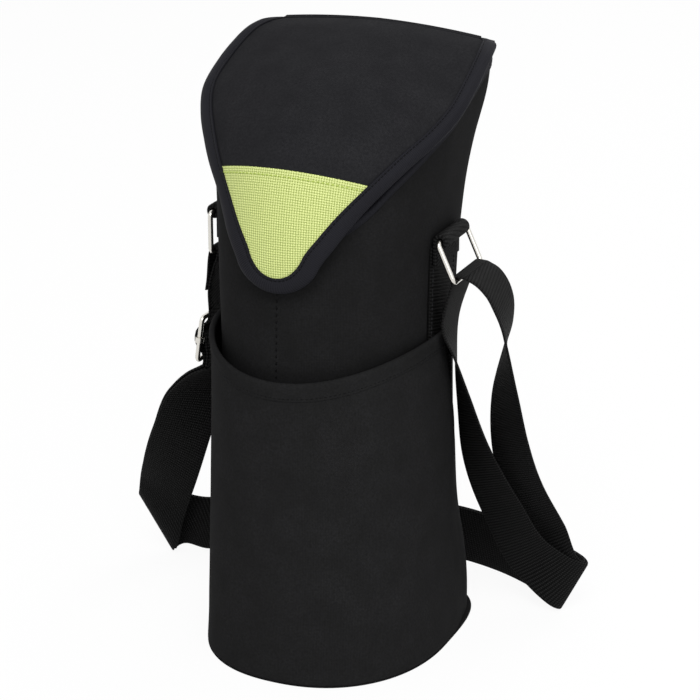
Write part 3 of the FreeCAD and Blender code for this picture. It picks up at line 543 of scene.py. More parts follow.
def grid_object(name, points, closed=False, closed_rows=False, uv=None):
    """Mesh of a grid of points. A closed grid repeats its first column as its last one."""
    rows, columns = points.shape[:2]
    kept = columns - 1 if closed else columns
    levels = rows - 1 if closed_rows else rows
    vertices = points[:levels, :kept].reshape(-1, 3)
    uv = grid_uv(points) if uv is None else uv
    faces, corners = [], []
    for row in range(rows - 1):
        for column in range(columns - 1):
            cells = ((row, column), (row, column + 1), (row + 1, column + 1), (row + 1, column))
            faces.append([(r % levels) * kept + c % kept for r, c in cells])
            corners.extend(uv[r, c] for r, c in cells)
    mesh = bpy.data.meshes.new(name)
    mesh.from_pydata(vertices.tolist(), [], faces)
    layer = mesh.uv_layers.new(name="cloth")
    layer.data.foreach_set("uv", np.asarray(corners, np.float32).ravel())
    mesh.polygons.foreach_set("use_smooth", [True] * len(mesh.polygons))
    mesh.update()
    return link_object(name, mesh)


def close_holes(item):
    """Flat caps on a piece's open ends, with every face turned outwards."""
    work = bmesh.new()
    work.from_mesh(item.data)
    bmesh.ops.holes_fill(work, edges=[edge for edge in work.edges if edge.is_boundary], sides=0)
    bmesh.ops.recalc_face_normals(work, faces=work.faces)
    work.to_mesh(item.data)
    work.free()
    return item


def cut_from(item):
    """Returns the piece as it is."""
    return item


def thicken(item, thickness, rim=0):
    """Wall thickness inwards, with softly rounded rims."""
    solid = item.modifiers.new("wall", "SOLIDIFY")
    solid.thickness = thickness
    solid.offset = -1
    if rim:
        bevel = item.modifiers.new("rim", "BEVEL")
        bevel.width = rim
        bevel.segments = RIM_SEGMENTS
        bevel.limit_method = "ANGLE"
        bevel.angle_limit = math.radians(RIM_ANGLE)
    return item


def cloth_piece(name, points, thickness, rim, material, slot, body, *nodes, closed=False):
    """A sheet of cloth from its grid, with its thickness and look."""
    item = thicken(grid_object(name, points, closed=closed), thickness, rim)
    dress(item, material, slot, body, *nodes)
    return cut_from(item)


def rolled_piece(name, points, material, slot, body, *nodes, closed_rows=False):
    """A closed section carried along a line or round a ring, with its look."""
    item = grid_object(name, points, closed=True, closed_rows=closed_rows, uv=profile_uv(points))
    return dress(close_holes(item), material, slot, body, *nodes)


# Thread, made by one tree that lays stitches along lines
def stitch_tree():
    """Node tree with the lines, the stitch's sizes and the thread as its inputs."""
    tree = bpy.data.node_groups.new("stitches", "GeometryNodeTree")
    tree.interface.new_socket("Lines", in_out="INPUT", socket_type="NodeSocketGeometry")
    for label in ("Pitch", "Length", "Thickness"):
        tree.interface.new_socket(label, in_out="INPUT", socket_type="NodeSocketFloat")
    tree.interface.new_socket("Thread", in_out="INPUT", socket_type="NodeSocketMaterial")
    tree.interface.new_socket("Stitches", in_out="OUTPUT", socket_type="NodeSocketGeometry")
    start = add(tree, "NodeGroupInput").outputs
    curve = add(tree, "GeometryNodeMeshToCurve", {"Mesh": start["Lines"]})
    spaced = add(tree, "GeometryNodeResampleCurve",
                 {"Curve": curve.outputs[0], "Length": start["Pitch"]}, mode="LENGTH")
    tangent = add(tree, "GeometryNodeInputTangent")
    turn = add(tree, "FunctionNodeAlignRotationToVector", {"Vector": tangent.outputs[0]}, axis="Z")
    bead = add(tree, "GeometryNodeMeshUVSphere",
               {"Segments": STITCH_SEGMENTS, "Rings": STITCH_RINGS, "Radius": 1 / 2})
    stretch = add(tree, "ShaderNodeCombineXYZ",
                  {"X": start["Thickness"], "Y": start["Thickness"], "Z": start["Length"]})
    stitch = add(tree, "GeometryNodeTransform", {"Geometry": bead.outputs[0], "Scale": stretch.outputs[0]})
    placed = add(tree, "GeometryNodeInstanceOnPoints",
                 {"Points": spaced.outputs[0], "Instance": stitch.outputs[0], "Rotation": turn.outputs[0]})
    real = add(tree, "GeometryNodeRealizeInstances", {"Geometry": placed.outputs[0]})
    smooth = add(tree, "GeometryNodeSetShadeSmooth", {"Geometry": real.outputs[0]})
    done = add(tree, "GeometryNodeSetMaterial", {"Geometry": smooth.outputs[0], "Material": start["Thread"]})
    add(tree, "NodeGroupOutput", {"Stitches": done.outputs[0]})
    return tree


def sewn(name, lines, stitch, thread, slot, body):
    """Stitches along lines of points, as a plain mesh that rides on a body."""
    vertices, edges = [], []
    for line in lines:
        first = len(vertices)
        vertices.extend(tuple(point) for point in line)
        edges.extend((first + index, first + index + 1) for index in range(len(line) - 1))
    mesh = bpy.data.meshes.new(name + "_lines")
    mesh.from_pydata(vertices, edges, [])
    source = link_object(name + "_lines", mesh)
    modifier = source.modifiers.new("stitches", "NODES")
    modifier.node_group = STITCHES
    pitch, length, thickness = stitch
    values = {"Pitch": pitch, "Length": length, "Thickness": thickness, "Thread": thread}
    for item in STITCHES.interface.items_tree:
        if item.name in values:
            modifier[item.identifier] = values[item.name]
    return dress(link_object(name, made_mesh(source)), thread, slot, body)


# Parts of materials
def new_material(name):
    """A material, its node tree and its shader."""
    material = bpy.data.materials.new(name)
    material.use_nodes = True
    tree = material.node_tree
    return material, tree, tree.nodes["Principled BSDF"]


def cloth_uv(tree, scale):
    """The piece's own cloth map, in units of the scale."""
    place = add(tree, "ShaderNodeUVMap", uv_map="cloth").outputs[0]
    return add(tree, "ShaderNodeMapping", {"Vector": place, "Scale": (1 / scale, 1 / scale, 1)}).outputs[0]


def crossed_waves(tree, uv):
    """Waves across and along the cloth, one to each unit."""
    inputs = {"Vector": uv, "Scale": ONE_WAVE}
    return [add(tree, "ShaderNodeTexWave", inputs, bands_direction=way).outputs["Fac"] for way in "XY"]


def solid_noise(tree, grain, detail):
    """Noise through the object, with its grain in metres."""
    place = add(tree, "ShaderNodeTexCoord").outputs["Object"]
    inputs = {"Vector": place, "Scale": 1 / grain, "Detail": detail}
    return add(tree, "ShaderNodeTexNoise", inputs).outputs["Fac"]


def solid_cells(tree, size):
    """Cells through the object, with their size in metres."""
    place = add(tree, "ShaderNodeTexCoord").outputs["Object"]
    return add(tree, "ShaderNodeTexVoronoi", {"Vector": place, "Scale": 1 / size}).outputs["Distance"]


def product(tree, first, second):
    """One value times another."""
    return add(tree, "ShaderNodeMath", {0: first, 1: second}, operation="MULTIPLY").outputs[0]


def spread(tree, value, low, high):
    """A value from 0 to 1, spread from low to high."""
    return add(tree, "ShaderNodeMapRange", {"Value": value, "To Min": low, "To Max": high}).outputs[0]


def tone(tree, factor, dark, light):
    """Colour between a dark and a light one."""
    shades = {"Factor": factor, "A": linear(dark), "B": linear(light)}
    return add(tree, "ShaderNodeMix", shades, data_type="RGBA").outputs["Result"]


def raised(tree, height, relief, strength):
    """Surface direction of a relief in metres."""
    inputs = {"Height": height, "Strength": strength, "Distance": relief}
    return add(tree, "ShaderNodeBump", inputs).outputs[0]


# Materials
def shell_cloth(name, dark, light):
    """Matte polyester canvas, plain woven: fine crossed threads, a little mottled, with no shine."""
    material, tree, shader = new_material(name)
    weave = product(tree, *crossed_waves(tree, cloth_uv(tree, CANVAS_THREAD)))
    specks = {"Value": solid_noise(tree, CANVAS_SPECK, detail=2.0), "From Min": 0.3, "From Max": 0.7,
              "To Min": 0.4, "To Max": 1.6}
    speckled = add(tree, "ShaderNodeMapRange", specks).outputs[0]
    grain = product(tree, solid_noise(tree, CANVAS_MOTTLE, detail=6.0), speckled)
    share = product(tree, spread(tree, weave, low=0.6, high=1.0), grain)
    connect(tree, shader, {"Base Color": tone(tree, share, dark, light), "Roughness": 0.9,
                           "Specular IOR Level": 0.03,
                           "Normal": raised(tree, weave, CANVAS_RELIEF, strength=0.25)})
    return material


def ribbed_tape(name, dark, light, rib, rows, slant, relief, groove_shade=0):
    """Woven tape or webbing: raised ribs across it, crossed by warp threads, with painted shade in a dark band
    along its sewn edge.
    """
    material, tree, shader = new_material(name)
    uv = cloth_uv(tree, rib)
    turned = add(tree, "ShaderNodeMapping", {"Vector": uv, "Rotation": (0, 0, math.radians(slant))})
    uneven = {"Vector": turned.outputs[0], "Scale": ONE_WAVE, "Distortion": 0.4, "Detail": 1.0}
    ribs = add(tree, "ShaderNodeTexWave", uneven, bands_direction="Y")
    warp = add(tree, "ShaderNodeTexWave", {"Vector": uv, "Scale": ONE_WAVE * rows}, bands_direction="X")
    weave = product(tree, ribs.outputs["Fac"], spread(tree, warp.outputs["Fac"], low=0.15, high=1.0))
    shade = weave
    # Painted shade: a dark band along the sewn edge, where the tape dips in, darkest at its core
    if groove_shade:
        flat = add(tree, "ShaderNodeSeparateXYZ", {"Vector": uv}).outputs["X"]
        shade_range = {"Value": flat, "From Min": GROOVE_SHADE_CORE * groove_shade / rib, "From Max": groove_shade / rib}
        clear = add(tree, "ShaderNodeMapRange", shade_range, interpolation_type="SMOOTHSTEP").outputs[0]
        shade = product(tree, weave, clear)
    connect(tree, shader, {"Base Color": tone(tree, shade, dark, light), "Roughness": 0.7,
                           "Specular IOR Level": 0.06, "Normal": raised(tree, weave, relief, strength=0.8)})
    return material


def basket_cloth(name, valley, shade, light):
    """Coarse nylon basket weave: plump crossing threads with dark gaps where they dive."""
    material, tree, shader = new_material(name)
    uv = cloth_uv(tree, LIME_BASKET)
    checks = add(tree, "ShaderNodeTexChecker",
                 {"Vector": uv, "Scale": 1.0, "Color1": (1, 1, 1, 1), "Color2": (0, 0, 0, 1)})
    warp, weft = crossed_waves(tree, uv)
    over = {"Factor": checks.outputs["Fac"], "A": warp, "B": weft}
    crown = add(tree, "ShaderNodeMix", over, data_type="FLOAT")
    parts = {0: crown.outputs["Result"], 1: product(tree, warp, weft)}
    height = add(tree, "ShaderNodeMath", parts, operation="ADD").outputs[0]
    ramp = add(tree, "ShaderNodeValToRGB", {"Fac": height})
    stops = ramp.color_ramp.elements
    stops[0].position = 0.05
    stops[0].color = linear(valley)
    stops[1].position = 0.95
    stops[1].color = linear(light)
    stops.new(0.4).color = linear(shade)
    connect(tree, shader, {"Base Color": ramp.outputs["Color"], "Roughness": 0.6, "Specular IOR Level": 0.35,
                           "Normal": raised(tree, height, LIME_RELIEF, strength=0.5)})
    return material


def nickel_wire():
    """Bent steel wire, nickel plated and tumbled: bright, with soft scuffs."""
    material, tree, shader = new_material("nickel_plated_wire")
    gloss = spread(tree, solid_noise(tree, WIRE_SCUFF, detail=4.0), low=0.12, high=0.30)
    connect(tree, shader, {"Base Color": linear("#d9d6cf"), "Metallic": 1.0, "Roughness": gloss})
    return material


def lining_film():
    """Coated lining cloth, calendered: smooth pale grey with a soft shine and faint creases."""
    material, tree, shader = new_material("coated_lining")
    crease = solid_noise(tree, LINING_CREASE, detail=3.0)
    connect(tree, shader, {"Base Color": tone(tree, crease, "#8f9194", "#b4b6b8"), "Roughness": 0.42,
                           "Normal": raised(tree, crease, LINING_RELIEF, strength=0.3)})
    return material


def cell_foam():
    """Closed-cell foam, sliced: grey with fine bubbles."""
    material, tree, shader = new_material("closed_cell_foam")
    cells = solid_cells(tree, FOAM_CELL)
    connect(tree, shader, {"Base Color": tone(tree, cells, "#5b5c5e", "#75767a"), "Roughness": 0.95})
    return material


def grip_tape():
    """Hook-and-loop tape, woven with a pile: dull black with a fuzzy grain."""
    material, tree, shader = new_material("closing_tape_pile")
    pile = solid_cells(tree, PILE_TUFT)
    connect(tree, shader, {"Base Color": tone(tree, pile, "#0d0d0e", "#2b2b2d"), "Roughness": 0.9,
                           "Normal": raised(tree, pile, PILE_RELIEF, strength=0.8)})
    return material


def twisted_thread(name, dark, light):
    """Polyester sewing thread, twisted: a little shine on a fine twist."""
    material, tree, shader = new_material(name)
    twist = solid_noise(tree, THREAD_TWIST, detail=2.0)
    connect(tree, shader, {"Base Color": tone(tree, twist, dark, light), "Roughness": 0.6,
                           "Specular IOR Level": 0.08})
    return material


STITCHES = stitch_tree()
CANVAS = shell_cloth("polyester_canvas", "#161616", "#212122")
# Lighter copy of the canvas for the flap and the back fold: painted light, as lit from above
LIT_FLAP_CANVAS = shell_cloth("polyester_canvas_flap_painted_light", "#1b1b1d", "#2a2a2c")
# Lighter copy of the canvas for the pocket and its hem: painted light
LIT_POCKET_CANVAS = shell_cloth("polyester_canvas_pocket_painted_light", "#181818", "#242425")
# Binding tape, with painted shade along its sewn edge
BINDING = ribbed_tape("grosgrain_binding", "#17171b", "#27272c", BINDING_RIB, BINDING_ROWS, 0, BINDING_RELIEF,
                      BINDING_GROOVE_SHADE)
WEBBING = ribbed_tape("nylon_webbing", "#060606", "#242424", WEBBING_RIB, WEBBING_ROWS, WEBBING_SLANT,
                      WEBBING_RELIEF)
BOARD = shell_cloth("grey_board", "#4a4a4b", "#5c5c5d")
LIME = basket_cloth("lime_basket_cloth", "#7e8c41", "#b2bf69", "#d1da90")
NICKEL = nickel_wire()
LINING = lining_film()
FOAM = cell_foam()
GRIP = grip_tape()
BLACK_THREAD = twisted_thread("black_thread", "#020202", "#0a0a0b")
CHARCOAL_THREAD = twisted_thread("charcoal_thread", "#1c1c1e", "#2b2b2d")
LIME_THREAD = twisted_thread("lime_thread", "#8d9f45", "#b9cc66")


# Carrier body
def power_ring(half_width, front, back, front_power, left_power, back_power):
    """Outline at one level, evenly spaced, from the middle of the back round by the left and the front."""
    angle = np.linspace(math.pi / 2, 5 * math.pi / 2, RING_FINE + 1)
    cosine, sine = np.cos(angle), np.sin(angle)
    power = np.where(sine >= 0, back_power, np.where(cosine < 0, left_power, front_power))
    x = half_width * np.sign(cosine) * np.abs(cosine) ** (2 / power)
    y = np.where(sine >= 0, back, front) * np.sign(sine) * np.abs(sine) ** (2 / power)
    length = np.concatenate([[0], np.cumsum(np.hypot(np.diff(x), np.diff(y)))])
    even = np.linspace(0, length[-1], WALL_COLUMNS + 1)
    return np.stack([np.interp(even, length, x), np.interp(even, length, y)], axis=1)


def drawn_in(ring, z):
    """An outline with its sides drawn in as the soft wall has them at that height."""
    table = np.array(SIDE_DRAW_SHARES)
    left, right = through_rows(table[:, 0] * CARRIER_HEIGHT, table[:, 1:], z)[0]
    share = np.where(ring[:, 0] < 0, 1 - left, 1 - right)
    return np.stack([ring[:, 0] * share, ring[:, 1]], axis=1)


def at_height(outline, z):
    """A flat outline as points at a height."""
    return np.concatenate([outline, np.full((len(outline), 1), z)], axis=1)


def wall_form(pocket, inset):
    """Rings of points up the body, or up the pocket's form, drawn in by the inset."""
    levels, width, front, back, roundness, back_roundness = np.array(BODY_LEVEL_SHARES).T
    front, left_roundness, stand = front * BASE_FRONT, roundness, 0
    if pocket:
        front, stand = np.array(POCKET_FRONT_SHARES) * POCKET_FRONT, POCKET_SIDE_STAND
        roundness, left_roundness = np.array(POCKET_ROUNDNESS), np.array(POCKET_LEFT_ROUNDNESS)
    rows = np.stack([width * BASE_HALF_WIDTH + stand - inset, front - inset, back * BASE_BACK - inset,
                     roundness, left_roundness, back_roundness], axis=1)
    heights = np.linspace(0, CARRIER_HEIGHT, WALL_LEVELS)
    sizes = through_rows(levels * CARRIER_HEIGHT, rows, heights)
    return np.array([at_height(drawn_in(power_ring(*row), z), z) for z, row in zip(heights, sizes)])


def up_wall(form, height):
    """Points of the form's columns at the given heights, one for each column."""
    spacing = CARRIER_HEIGHT / (WALL_LEVELS - 1)
    index = np.clip((height / spacing).astype(int), 0, WALL_LEVELS - 2)
    share = (height / spacing - index)[:, None]
    column = np.arange(form.shape[1])
    return form[index, column] * (1 - share) + form[index + 1, column] * share


def across_wall(form, z, places, facing, side):
    """A row of points on one side of the form at a height; facing is the axis that the side looks along."""
    ring = up_wall(form, np.full(form.shape[1], z))
    half = ring[ring[:, facing] * side > 0]
    half = half[np.argsort(half[:, 1 - facing])]
    row = np.full((len(places), 3), z)
    row[:, 1 - facing] = places
    row[:, facing] = np.interp(places, half[:, 1 - facing], half[:, facing])
    return row


def mouth_height(y):
    """Height of the mouth line at a depth."""
    back = BASE_BACK * BODY_LEVEL_SHARES[-1][3]
    run = back + BASE_FRONT * BODY_LEVEL_SHARES[MOUTH_FRONT_LEVEL][2]
    shares = np.array(MOUTH_SHARES)
    drop = through_rows(shares[:, 0], shares[:, 1:], (back - y) / run)[:, 0]
    return CARRIER_HEIGHT - MOUTH_BACK_DROP - drop * MOUTH_FRONT_DROP


def rim_height(points):
    """Height of the pocket's rim, which rises towards the sides."""
    return POCKET_HEIGHT + POCKET_SIDE_RISE * (points[:, 0] / BASE_HALF_WIDTH) ** 2


def column_tops(form, height_of):
    """Where each column of a form meets a line across it."""
    low = np.zeros(form.shape[1])
    high = np.full(form.shape[1], CARRIER_HEIGHT)
    for step in range(HEIGHT_HALVINGS):
        middle = (low + high) / 2
        below = middle < height_of(up_wall(form, middle))
        low, high = np.where(below, middle, low), np.where(below, high, middle)
    return low


def mouth_tops(form, recess):
    """Where each column of a form ends below the mouth line."""
    return column_tops(form, lambda points: mouth_height(points[:, 1]) - recess)


def wall_grid(form, low, tops, rows):
    """Grid from a level up to the columns' tops."""
    shares = np.linspace(0, 1, rows)
    return np.array([up_wall(form, low + share * (tops - low)) for share in shares])


def body_cloth():
    """Outer cloth, with soft hollows between the lines where it is sewn, and its front seam."""
    form = wall_form(False, 0)
    points = wall_grid(form, WALL_LOW, mouth_tops(form, CLOTH_RECESS), WALL_ROWS)
    points = waved(points, grid_normals(points, True), CLOTH_HOLLOW, CLOTH_WAVE, CLOTH_SEED)
    points[:, -1] = points[:, 0]
    cloth_piece("body_cloth", points, CLOTH_THICK, CLOTH_RIM, CANVAS, "shell_cloth", "carrier",
                "outer_front_panel", "outer_back_panel", closed=True)
    front = points[:, WALL_COLUMNS // 2 - SEAM_SHIFT]
    seam = [Vector(point) - DEPTH * THREAD_LIFT for point in front if SEAM_LOW < point[2] < SEAM_HIGH]
    sewn("front_seam_stitches", [seam], SEAM_STITCH, BLACK_THREAD, "shell_cloth", "carrier")


def inner_sleeve(name, inset, thickness, low, recess, material, slot, node):
    """A layer inside the outer cloth, from a level up to below the mouth."""
    form = wall_form(False, inset)
    points = wall_grid(form, low, mouth_tops(form, recess), SLEEVE_ROWS)
    return cloth_piece(name, points, thickness, 0, material, slot, "carrier", node, closed=True)


def round_rim(rim, below, wall, profile):
    """A closed section in millimetres, carried along a rim: out from the wall, and up from the rim."""
    rise = (rim - below) / np.linalg.norm(rim - below, axis=1, keepdims=True)
    section = np.array(profile) * MM
    points = np.array([[p + n * out + u * up for out, up in section] for p, n, u in zip(rim, wall, rise)])
    return np.concatenate([points, points[:, :1]], axis=1)


def mouth_tape():
    """Binding tape folded over the mouth, as a puffed channel that follows the rim."""
    form = wall_form(False, 0)
    tops = mouth_tops(form, 0)
    rim, below = up_wall(form, tops), up_wall(form, tops - RIM_STEP)
    points = round_rim(rim, below, grid_normals(np.array([below, rim]), True)[1], MOUTH_TAPE_PROFILE)
    rolled_piece("mouth_tape", points, BINDING, "binding", "carrier", "mouth_binding", closed_rows=True)


def pocket_span(form):
    """The form's front part, evenly spaced between the side edges, which are drawn in where they are sewn."""
    spans = []
    for ring in form:
        edge = np.interp(ring[0, 2], POCKET_EDGE_HEIGHTS, POCKET_EDGE_BACKS)
        length = lengths(ring)
        inside = np.where(ring[:, 1] <= edge)[0]
        ends = []
        for near, far in ((inside[0], inside[0] - 1), (inside[-1], inside[-1] + 1)):
            share = (edge - ring[near, 1]) / (ring[far, 1] - ring[near, 1])
            ends.append(length[near] + share * (length[far] - length[near]))
        even = np.linspace(*ends, POCKET_COLUMNS)
        spans.append(np.stack([np.interp(even, length, ring[:, axis]) for axis in range(3)], axis=1))
    spans = np.array(spans)
    tuck = POCKET_TUCK * np.interp(spans[:, :, 1], POCKET_TUCK_BACKS, (0, 1))
    return spans - grid_normals(spans, False) * tuck[:, :, None]


def pocket():
    """Slip pocket standing off the front, with a turned hem sewn down below its rim."""
    form = pocket_span(wall_form(True, 0))
    points = wall_grid(form, WALL_LOW, column_tops(form, rim_height), POCKET_ROWS)
    normals = grid_normals(points, False)
    points = waved(points, normals, POCKET_HOLLOW, POCKET_WAVE, POCKET_SEED)
    cloth_piece("pocket_cloth", points, POCKET_THICK, POCKET_RIM, LIT_POCKET_CANVAS, "shell_cloth", "carrier",
                "pocket_panel")
    hem = round_rim(points[-1], points[-2], normals[-1], POCKET_HEM_PROFILE)
    rolled_piece("pocket_hem", hem, LIT_POCKET_CANVAS, "shell_cloth", "carrier")
    line = round_rim(points[-1], points[-2], normals[-1], (POCKET_HEM_SEAM,))[:, 0]
    sewn("pocket_hem_stitches", [line], CANVAS_STITCH, BLACK_THREAD, "shell_cloth", "carrier")


# Base
def disc(name, outline, section, material, slot, node):
    """A flat round-edged piece: rings of the outline, each a share of its size at a height in millimetres."""
    rings = np.array([at_height(outline * share, z * MM) for share, z in section])
    item = close_holes(grid_object(name, rings, closed=True))
    return dress(item, material, slot, "carrier", node)


def base_pieces():
    """Base cloth that the carrier stands on, and the board, foam and lining that lie on it."""
    ground = power_ring(BASE_HALF_WIDTH + BASE_SIDE_LEDGE, BASE_FRONT + BASE_LEDGE, BASE_BACK + BASE_LEDGE,
                        POCKET_ROUNDNESS[0], POCKET_LEFT_ROUNDNESS[0], BODY_LEVEL_SHARES[0][-1])
    disc("base_cloth", drawn_in(ground, 0), BASE_SECTION, CANVAS, "shell_cloth", "base_panel")
    board = wall_form(False, BOARD_INSET)[0, :, :2]
    disc("base_board_sheet", board, BOARD_SECTION, BOARD, "board", "base_board")
    disc("base_foam_sheet", board, BASE_FOAM_SECTION, FOAM, "foam", "base_foam")
    lining = wall_form(False, BASE_LINING_INSET)[0, :, :2]
    disc("lining_base_cloth", lining, BASE_LINING_SECTION, LINING, "lining", "lining_base")


# Webbing
def web_mesh(name, low, high, face, along):
    """Mesh of a strip from its two edges and half its thickness along its face."""
    section = WEB_SECTION_SHARES + WEB_SECTION_SHARES[:1]
    lines = [low + (high - low) * share + face * rise for share, rise in section]
    points = np.array(lines).transpose(1, 0, 2)
    across = np.array(section)[:, 0] * WEB_WIDTH
    uv = np.stack([np.tile(across, (len(along), 1)), np.tile(along[:, None], (1, len(across)))], axis=2)
    return close_holes(grid_object(name, points, closed=True, uv=uv))


def rounded_web(name, pairs, body, node, sign=1, thick=WEB_THICK):
    """Webbing through pairs of edge points, smooth along its run, with rounded edges."""
    table = np.array([[*low, *high] for low, high in pairs])
    keys = lengths((table[:, :3] + table[:, 3:]) / 2)
    count = max(int(keys[-1] / RIBBON_STEP), 2 * len(pairs))
    along = np.unique(np.concatenate([np.linspace(0, keys[-1], count), keys]))
    rows = through_rows(keys, table, along)
    low, high = rows[:, :3], rows[:, 3:]
    run = np.gradient((low + high) / 2, axis=0)
    normal = np.cross(run, high - low)
    normal = sign * normal / np.linalg.norm(normal, axis=1, keepdims=True)
    item = web_mesh(name, low, high, normal * thick / 2, along)
    return dress(item, WEBBING, "webbing", body, node)


def level_pair(point):
    """Edge points of a stretch whose width lies along Y: rear, then front."""
    return ((point.x, WEB_Y + WEB_WIDTH / 2, point.z), (point.x, WEB_Y - WEB_WIDTH / 2, point.z))


def level_web(name, path, body, node, sign=1, thick=WEB_THICK):
    """Webbing along a path of points, with its width along Y."""
    return rounded_web(name, [level_pair(point) for point in path], body, node, sign, thick)


def strap_point(down, out):
    """A point of the left strap: distance down from the slider and away from the body."""
    lean = math.radians(SLIDER_LEAN)
    along = Vector((-math.sin(lean), 0, -math.cos(lean)))
    outward = Vector((-math.cos(lean), 0, math.sin(lean)))
    return Vector((SLIDER_X, 0, SLIDER_Z)) + along * down + outward * out


def arc_points(centre, radius, start, end, steps):
    """Points of an arc in the X-Z plane, with angles in degrees from +X towards +Z."""
    turns = [math.radians(start + (end - start) * step / steps) for step in range(steps + 1)]
    return [centre + Vector((math.cos(turn), 0, math.sin(turn))) * radius for turn in turns]


def side_web(name, side, node):
    """Webbing strip sewn up one side, from the base to the ring's tab."""
    form = wall_form(False, -SIDE_WEB_GAP - WEB_THICK)
    y = np.linspace(WEB_Y - WEB_WIDTH / 2, WEB_Y + WEB_WIDTH / 2, SIDE_WEB_COLUMNS)
    heights = np.linspace(WALL_LOW, TAB_Z - SIDE_WEB_SHORT, SIDE_WEB_ROWS)
    points = np.array([across_wall(form, z, y, facing=0, side=side) for z in heights])[:, ::side]
    normals = grid_normals(points, False)
    item = thicken(grid_object(name, points), WEB_THICK, WEB_RIM)
    dress(item, WEBBING, "webbing", "carrier", node)
    lines = [points[:, column] + normals[:, column] * THREAD_LIFT for column in SIDE_WEB_SEAMS]
    sewn(name + "_stitches", lines, WEB_STITCH, CHARCOAL_THREAD, "webbing", "carrier")


def ring_tab(name, side, node):
    """Loop of doubled webbing round the ring's upper bar, with its leg on the side strip."""
    centre = Vector((side * TAB_X, 0, TAB_Z))
    turn = arc_points(centre, WIRE_RADIUS + PIN_GAP + TAB_THICK / 2, HALF_TURN, TAB_TURN_END, TAB_TURN_STEPS)
    leg = [turn[0] - UP * (TAB_LEG * share) for share in TAB_LEG_SHARES]
    path = leg + turn
    if side < 0:
        path = [Vector((2 * centre.x - point.x, 0, point.z)) for point in path]
    return level_web(name, path, "carrier", node, -side, TAB_THICK)


def sewn_end():
    """Strap end folded over the left ring's lower bar, its tail sewn back on the strap."""
    bar = Vector((-TAB_X, 0, TAB_Z - RING_PITCH))
    start = strap_point(-SLIDER_PITCH / 2 - STRAP_END_ROOM, -WEB_WRAP)
    turn = arc_points(bar, WEB_WRAP, -SLIDER_LEAN, HALF_TURN - SLIDER_LEAN, STRAP_END_STEPS)
    run = turn[0] - start
    side = Vector((-run.z, 0, run.x)).normalized()
    rise = [start + run * share + side * (STRAP_END_BULGE * bulge) for share, bulge in STRAP_END_SHARES]
    tail_out = WEB_THICK * STRAP_TAIL_LAYERS + STRAP_END_BULGE
    tail = [turn[0] - run * share + side * tail_out for share in STRAP_TAIL_SHARES]
    item = level_web("strap_sewn_end_web", [start] + rise + turn + tail, None, "strap_sewn_end")
    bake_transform(item)


def slider_webs():
    """The strap's weave through the slider, and its other end sewn round the middle bar."""
    half = SLIDER_PITCH / 2 + STRAP_END_ROOM - SLIDER_WEB_SHORT
    flat = SLIDER_PITCH / 2 - WIRE_RADIUS
    crest = 2 * WIRE_RADIUS
    crest_out = WEB_WRAP + WEB_THICK + SLIDER_CREST_GAP
    stops = ((-half, -WEB_WRAP), (-flat, -WEB_WRAP), (-crest, crest_out), (crest, crest_out),
             (flat, -WEB_WRAP), (half, -WEB_WRAP))
    weave = [strap_point(down, out) for down, out in stops]
    level_web("strap_slider_pass_web", weave, "slider", "strap_slider_pass")
    turn = arc_points(strap_point(0, 0), WEB_WRAP, SLIDER_LOOP_START, SLIDER_LOOP_END, SLIDER_LOOP_STEPS)
    leg_out = -WEB_WRAP - STRAP_LAYER_PITCH
    leg = [strap_point(SLIDER_PITCH / 2 - crest, leg_out), strap_point(half, leg_out)]
    level_web("strap_slider_loop_web", turn + leg, "slider", "strap_slider_loop")


def ring_pass():
    """The strap over the right ring's lower bar; returns where its two ends go on."""
    lean = math.radians(RING_RIGHT_LEAN)
    bar = Vector((TAB_X + RING_PITCH * math.sin(lean), 0, TAB_Z - RING_PITCH * math.cos(lean)))
    turn = arc_points(bar, WEB_WRAP, RING_PASS_ENTER, RING_PASS_LEAVE, RING_PASS_STEPS)
    enter, leave = math.radians(RING_PASS_ENTER), math.radians(RING_PASS_LEAVE)
    back = Vector((-math.sin(enter), 0, math.cos(enter)))
    away = Vector((math.sin(leave), 0, -math.cos(leave)))
    inner = [turn[0] + back * (RING_PASS_LEG * share) for share in RING_PASS_SHARES[::-1]]
    outer = [turn[-1] + away * (RING_PASS_REACH * share) for share in RING_PASS_SHARES]
    level_web("strap_ring_pass_web", inner + turn + outer, "ring_right", "strap_ring_pass")
    return inner[0], outer[-1]


# Free strap
def metre_pairs(pairs):
    """Pairs of edge points, from millimetres."""
    return [[Vector(point) * MM for point in pair] for pair in pairs]


def level_end(point):
    """Pair of edge points where the free strap meets a stretch whose width lies along Y."""
    return [Vector(edge) for edge in level_pair(point)]


def fold_pairs(fold, outward, entry):
    """Pairs that carry the strap round a folded edge, turning from the entry side to the far side."""
    low, high = metre_pairs([fold])[0]
    axis = (high - low).normalized()
    out = (outward - axis * outward.dot(axis)).normalized()
    face = entry - axis * entry.dot(axis)
    face = (face - out * face.dot(out)).normalized()
    radius = STRAP_LAYER_PITCH * FOLD_TURN_LAYERS
    pairs = []
    for step in range(1, FOLD_TURN_STEPS):
        turn = math.pi * step / FOLD_TURN_STEPS
        shift = face * (radius * math.cos(turn)) + out * (radius * (math.sin(turn) - 1))
        pairs.append(([low + shift, high + shift], face * math.cos(turn) + out * math.sin(turn)))
    return pairs


def with_normals(pairs, first_normal):
    """Face directions for plain pairs, from the run of the strap and kept on one side."""
    middles = [(low + high) / 2 for low, high in pairs]
    result = []
    last = first_normal
    for index, (low, high) in enumerate(pairs):
        run = middles[min(index + 1, len(pairs) - 1)] - middles[max(index - 1, 0)]
        normal = run.cross(high - low).normalized()
        if normal.dot(last) < 0:
            normal = -normal
        result.append(([low, high], normal))
        last = normal
    return result


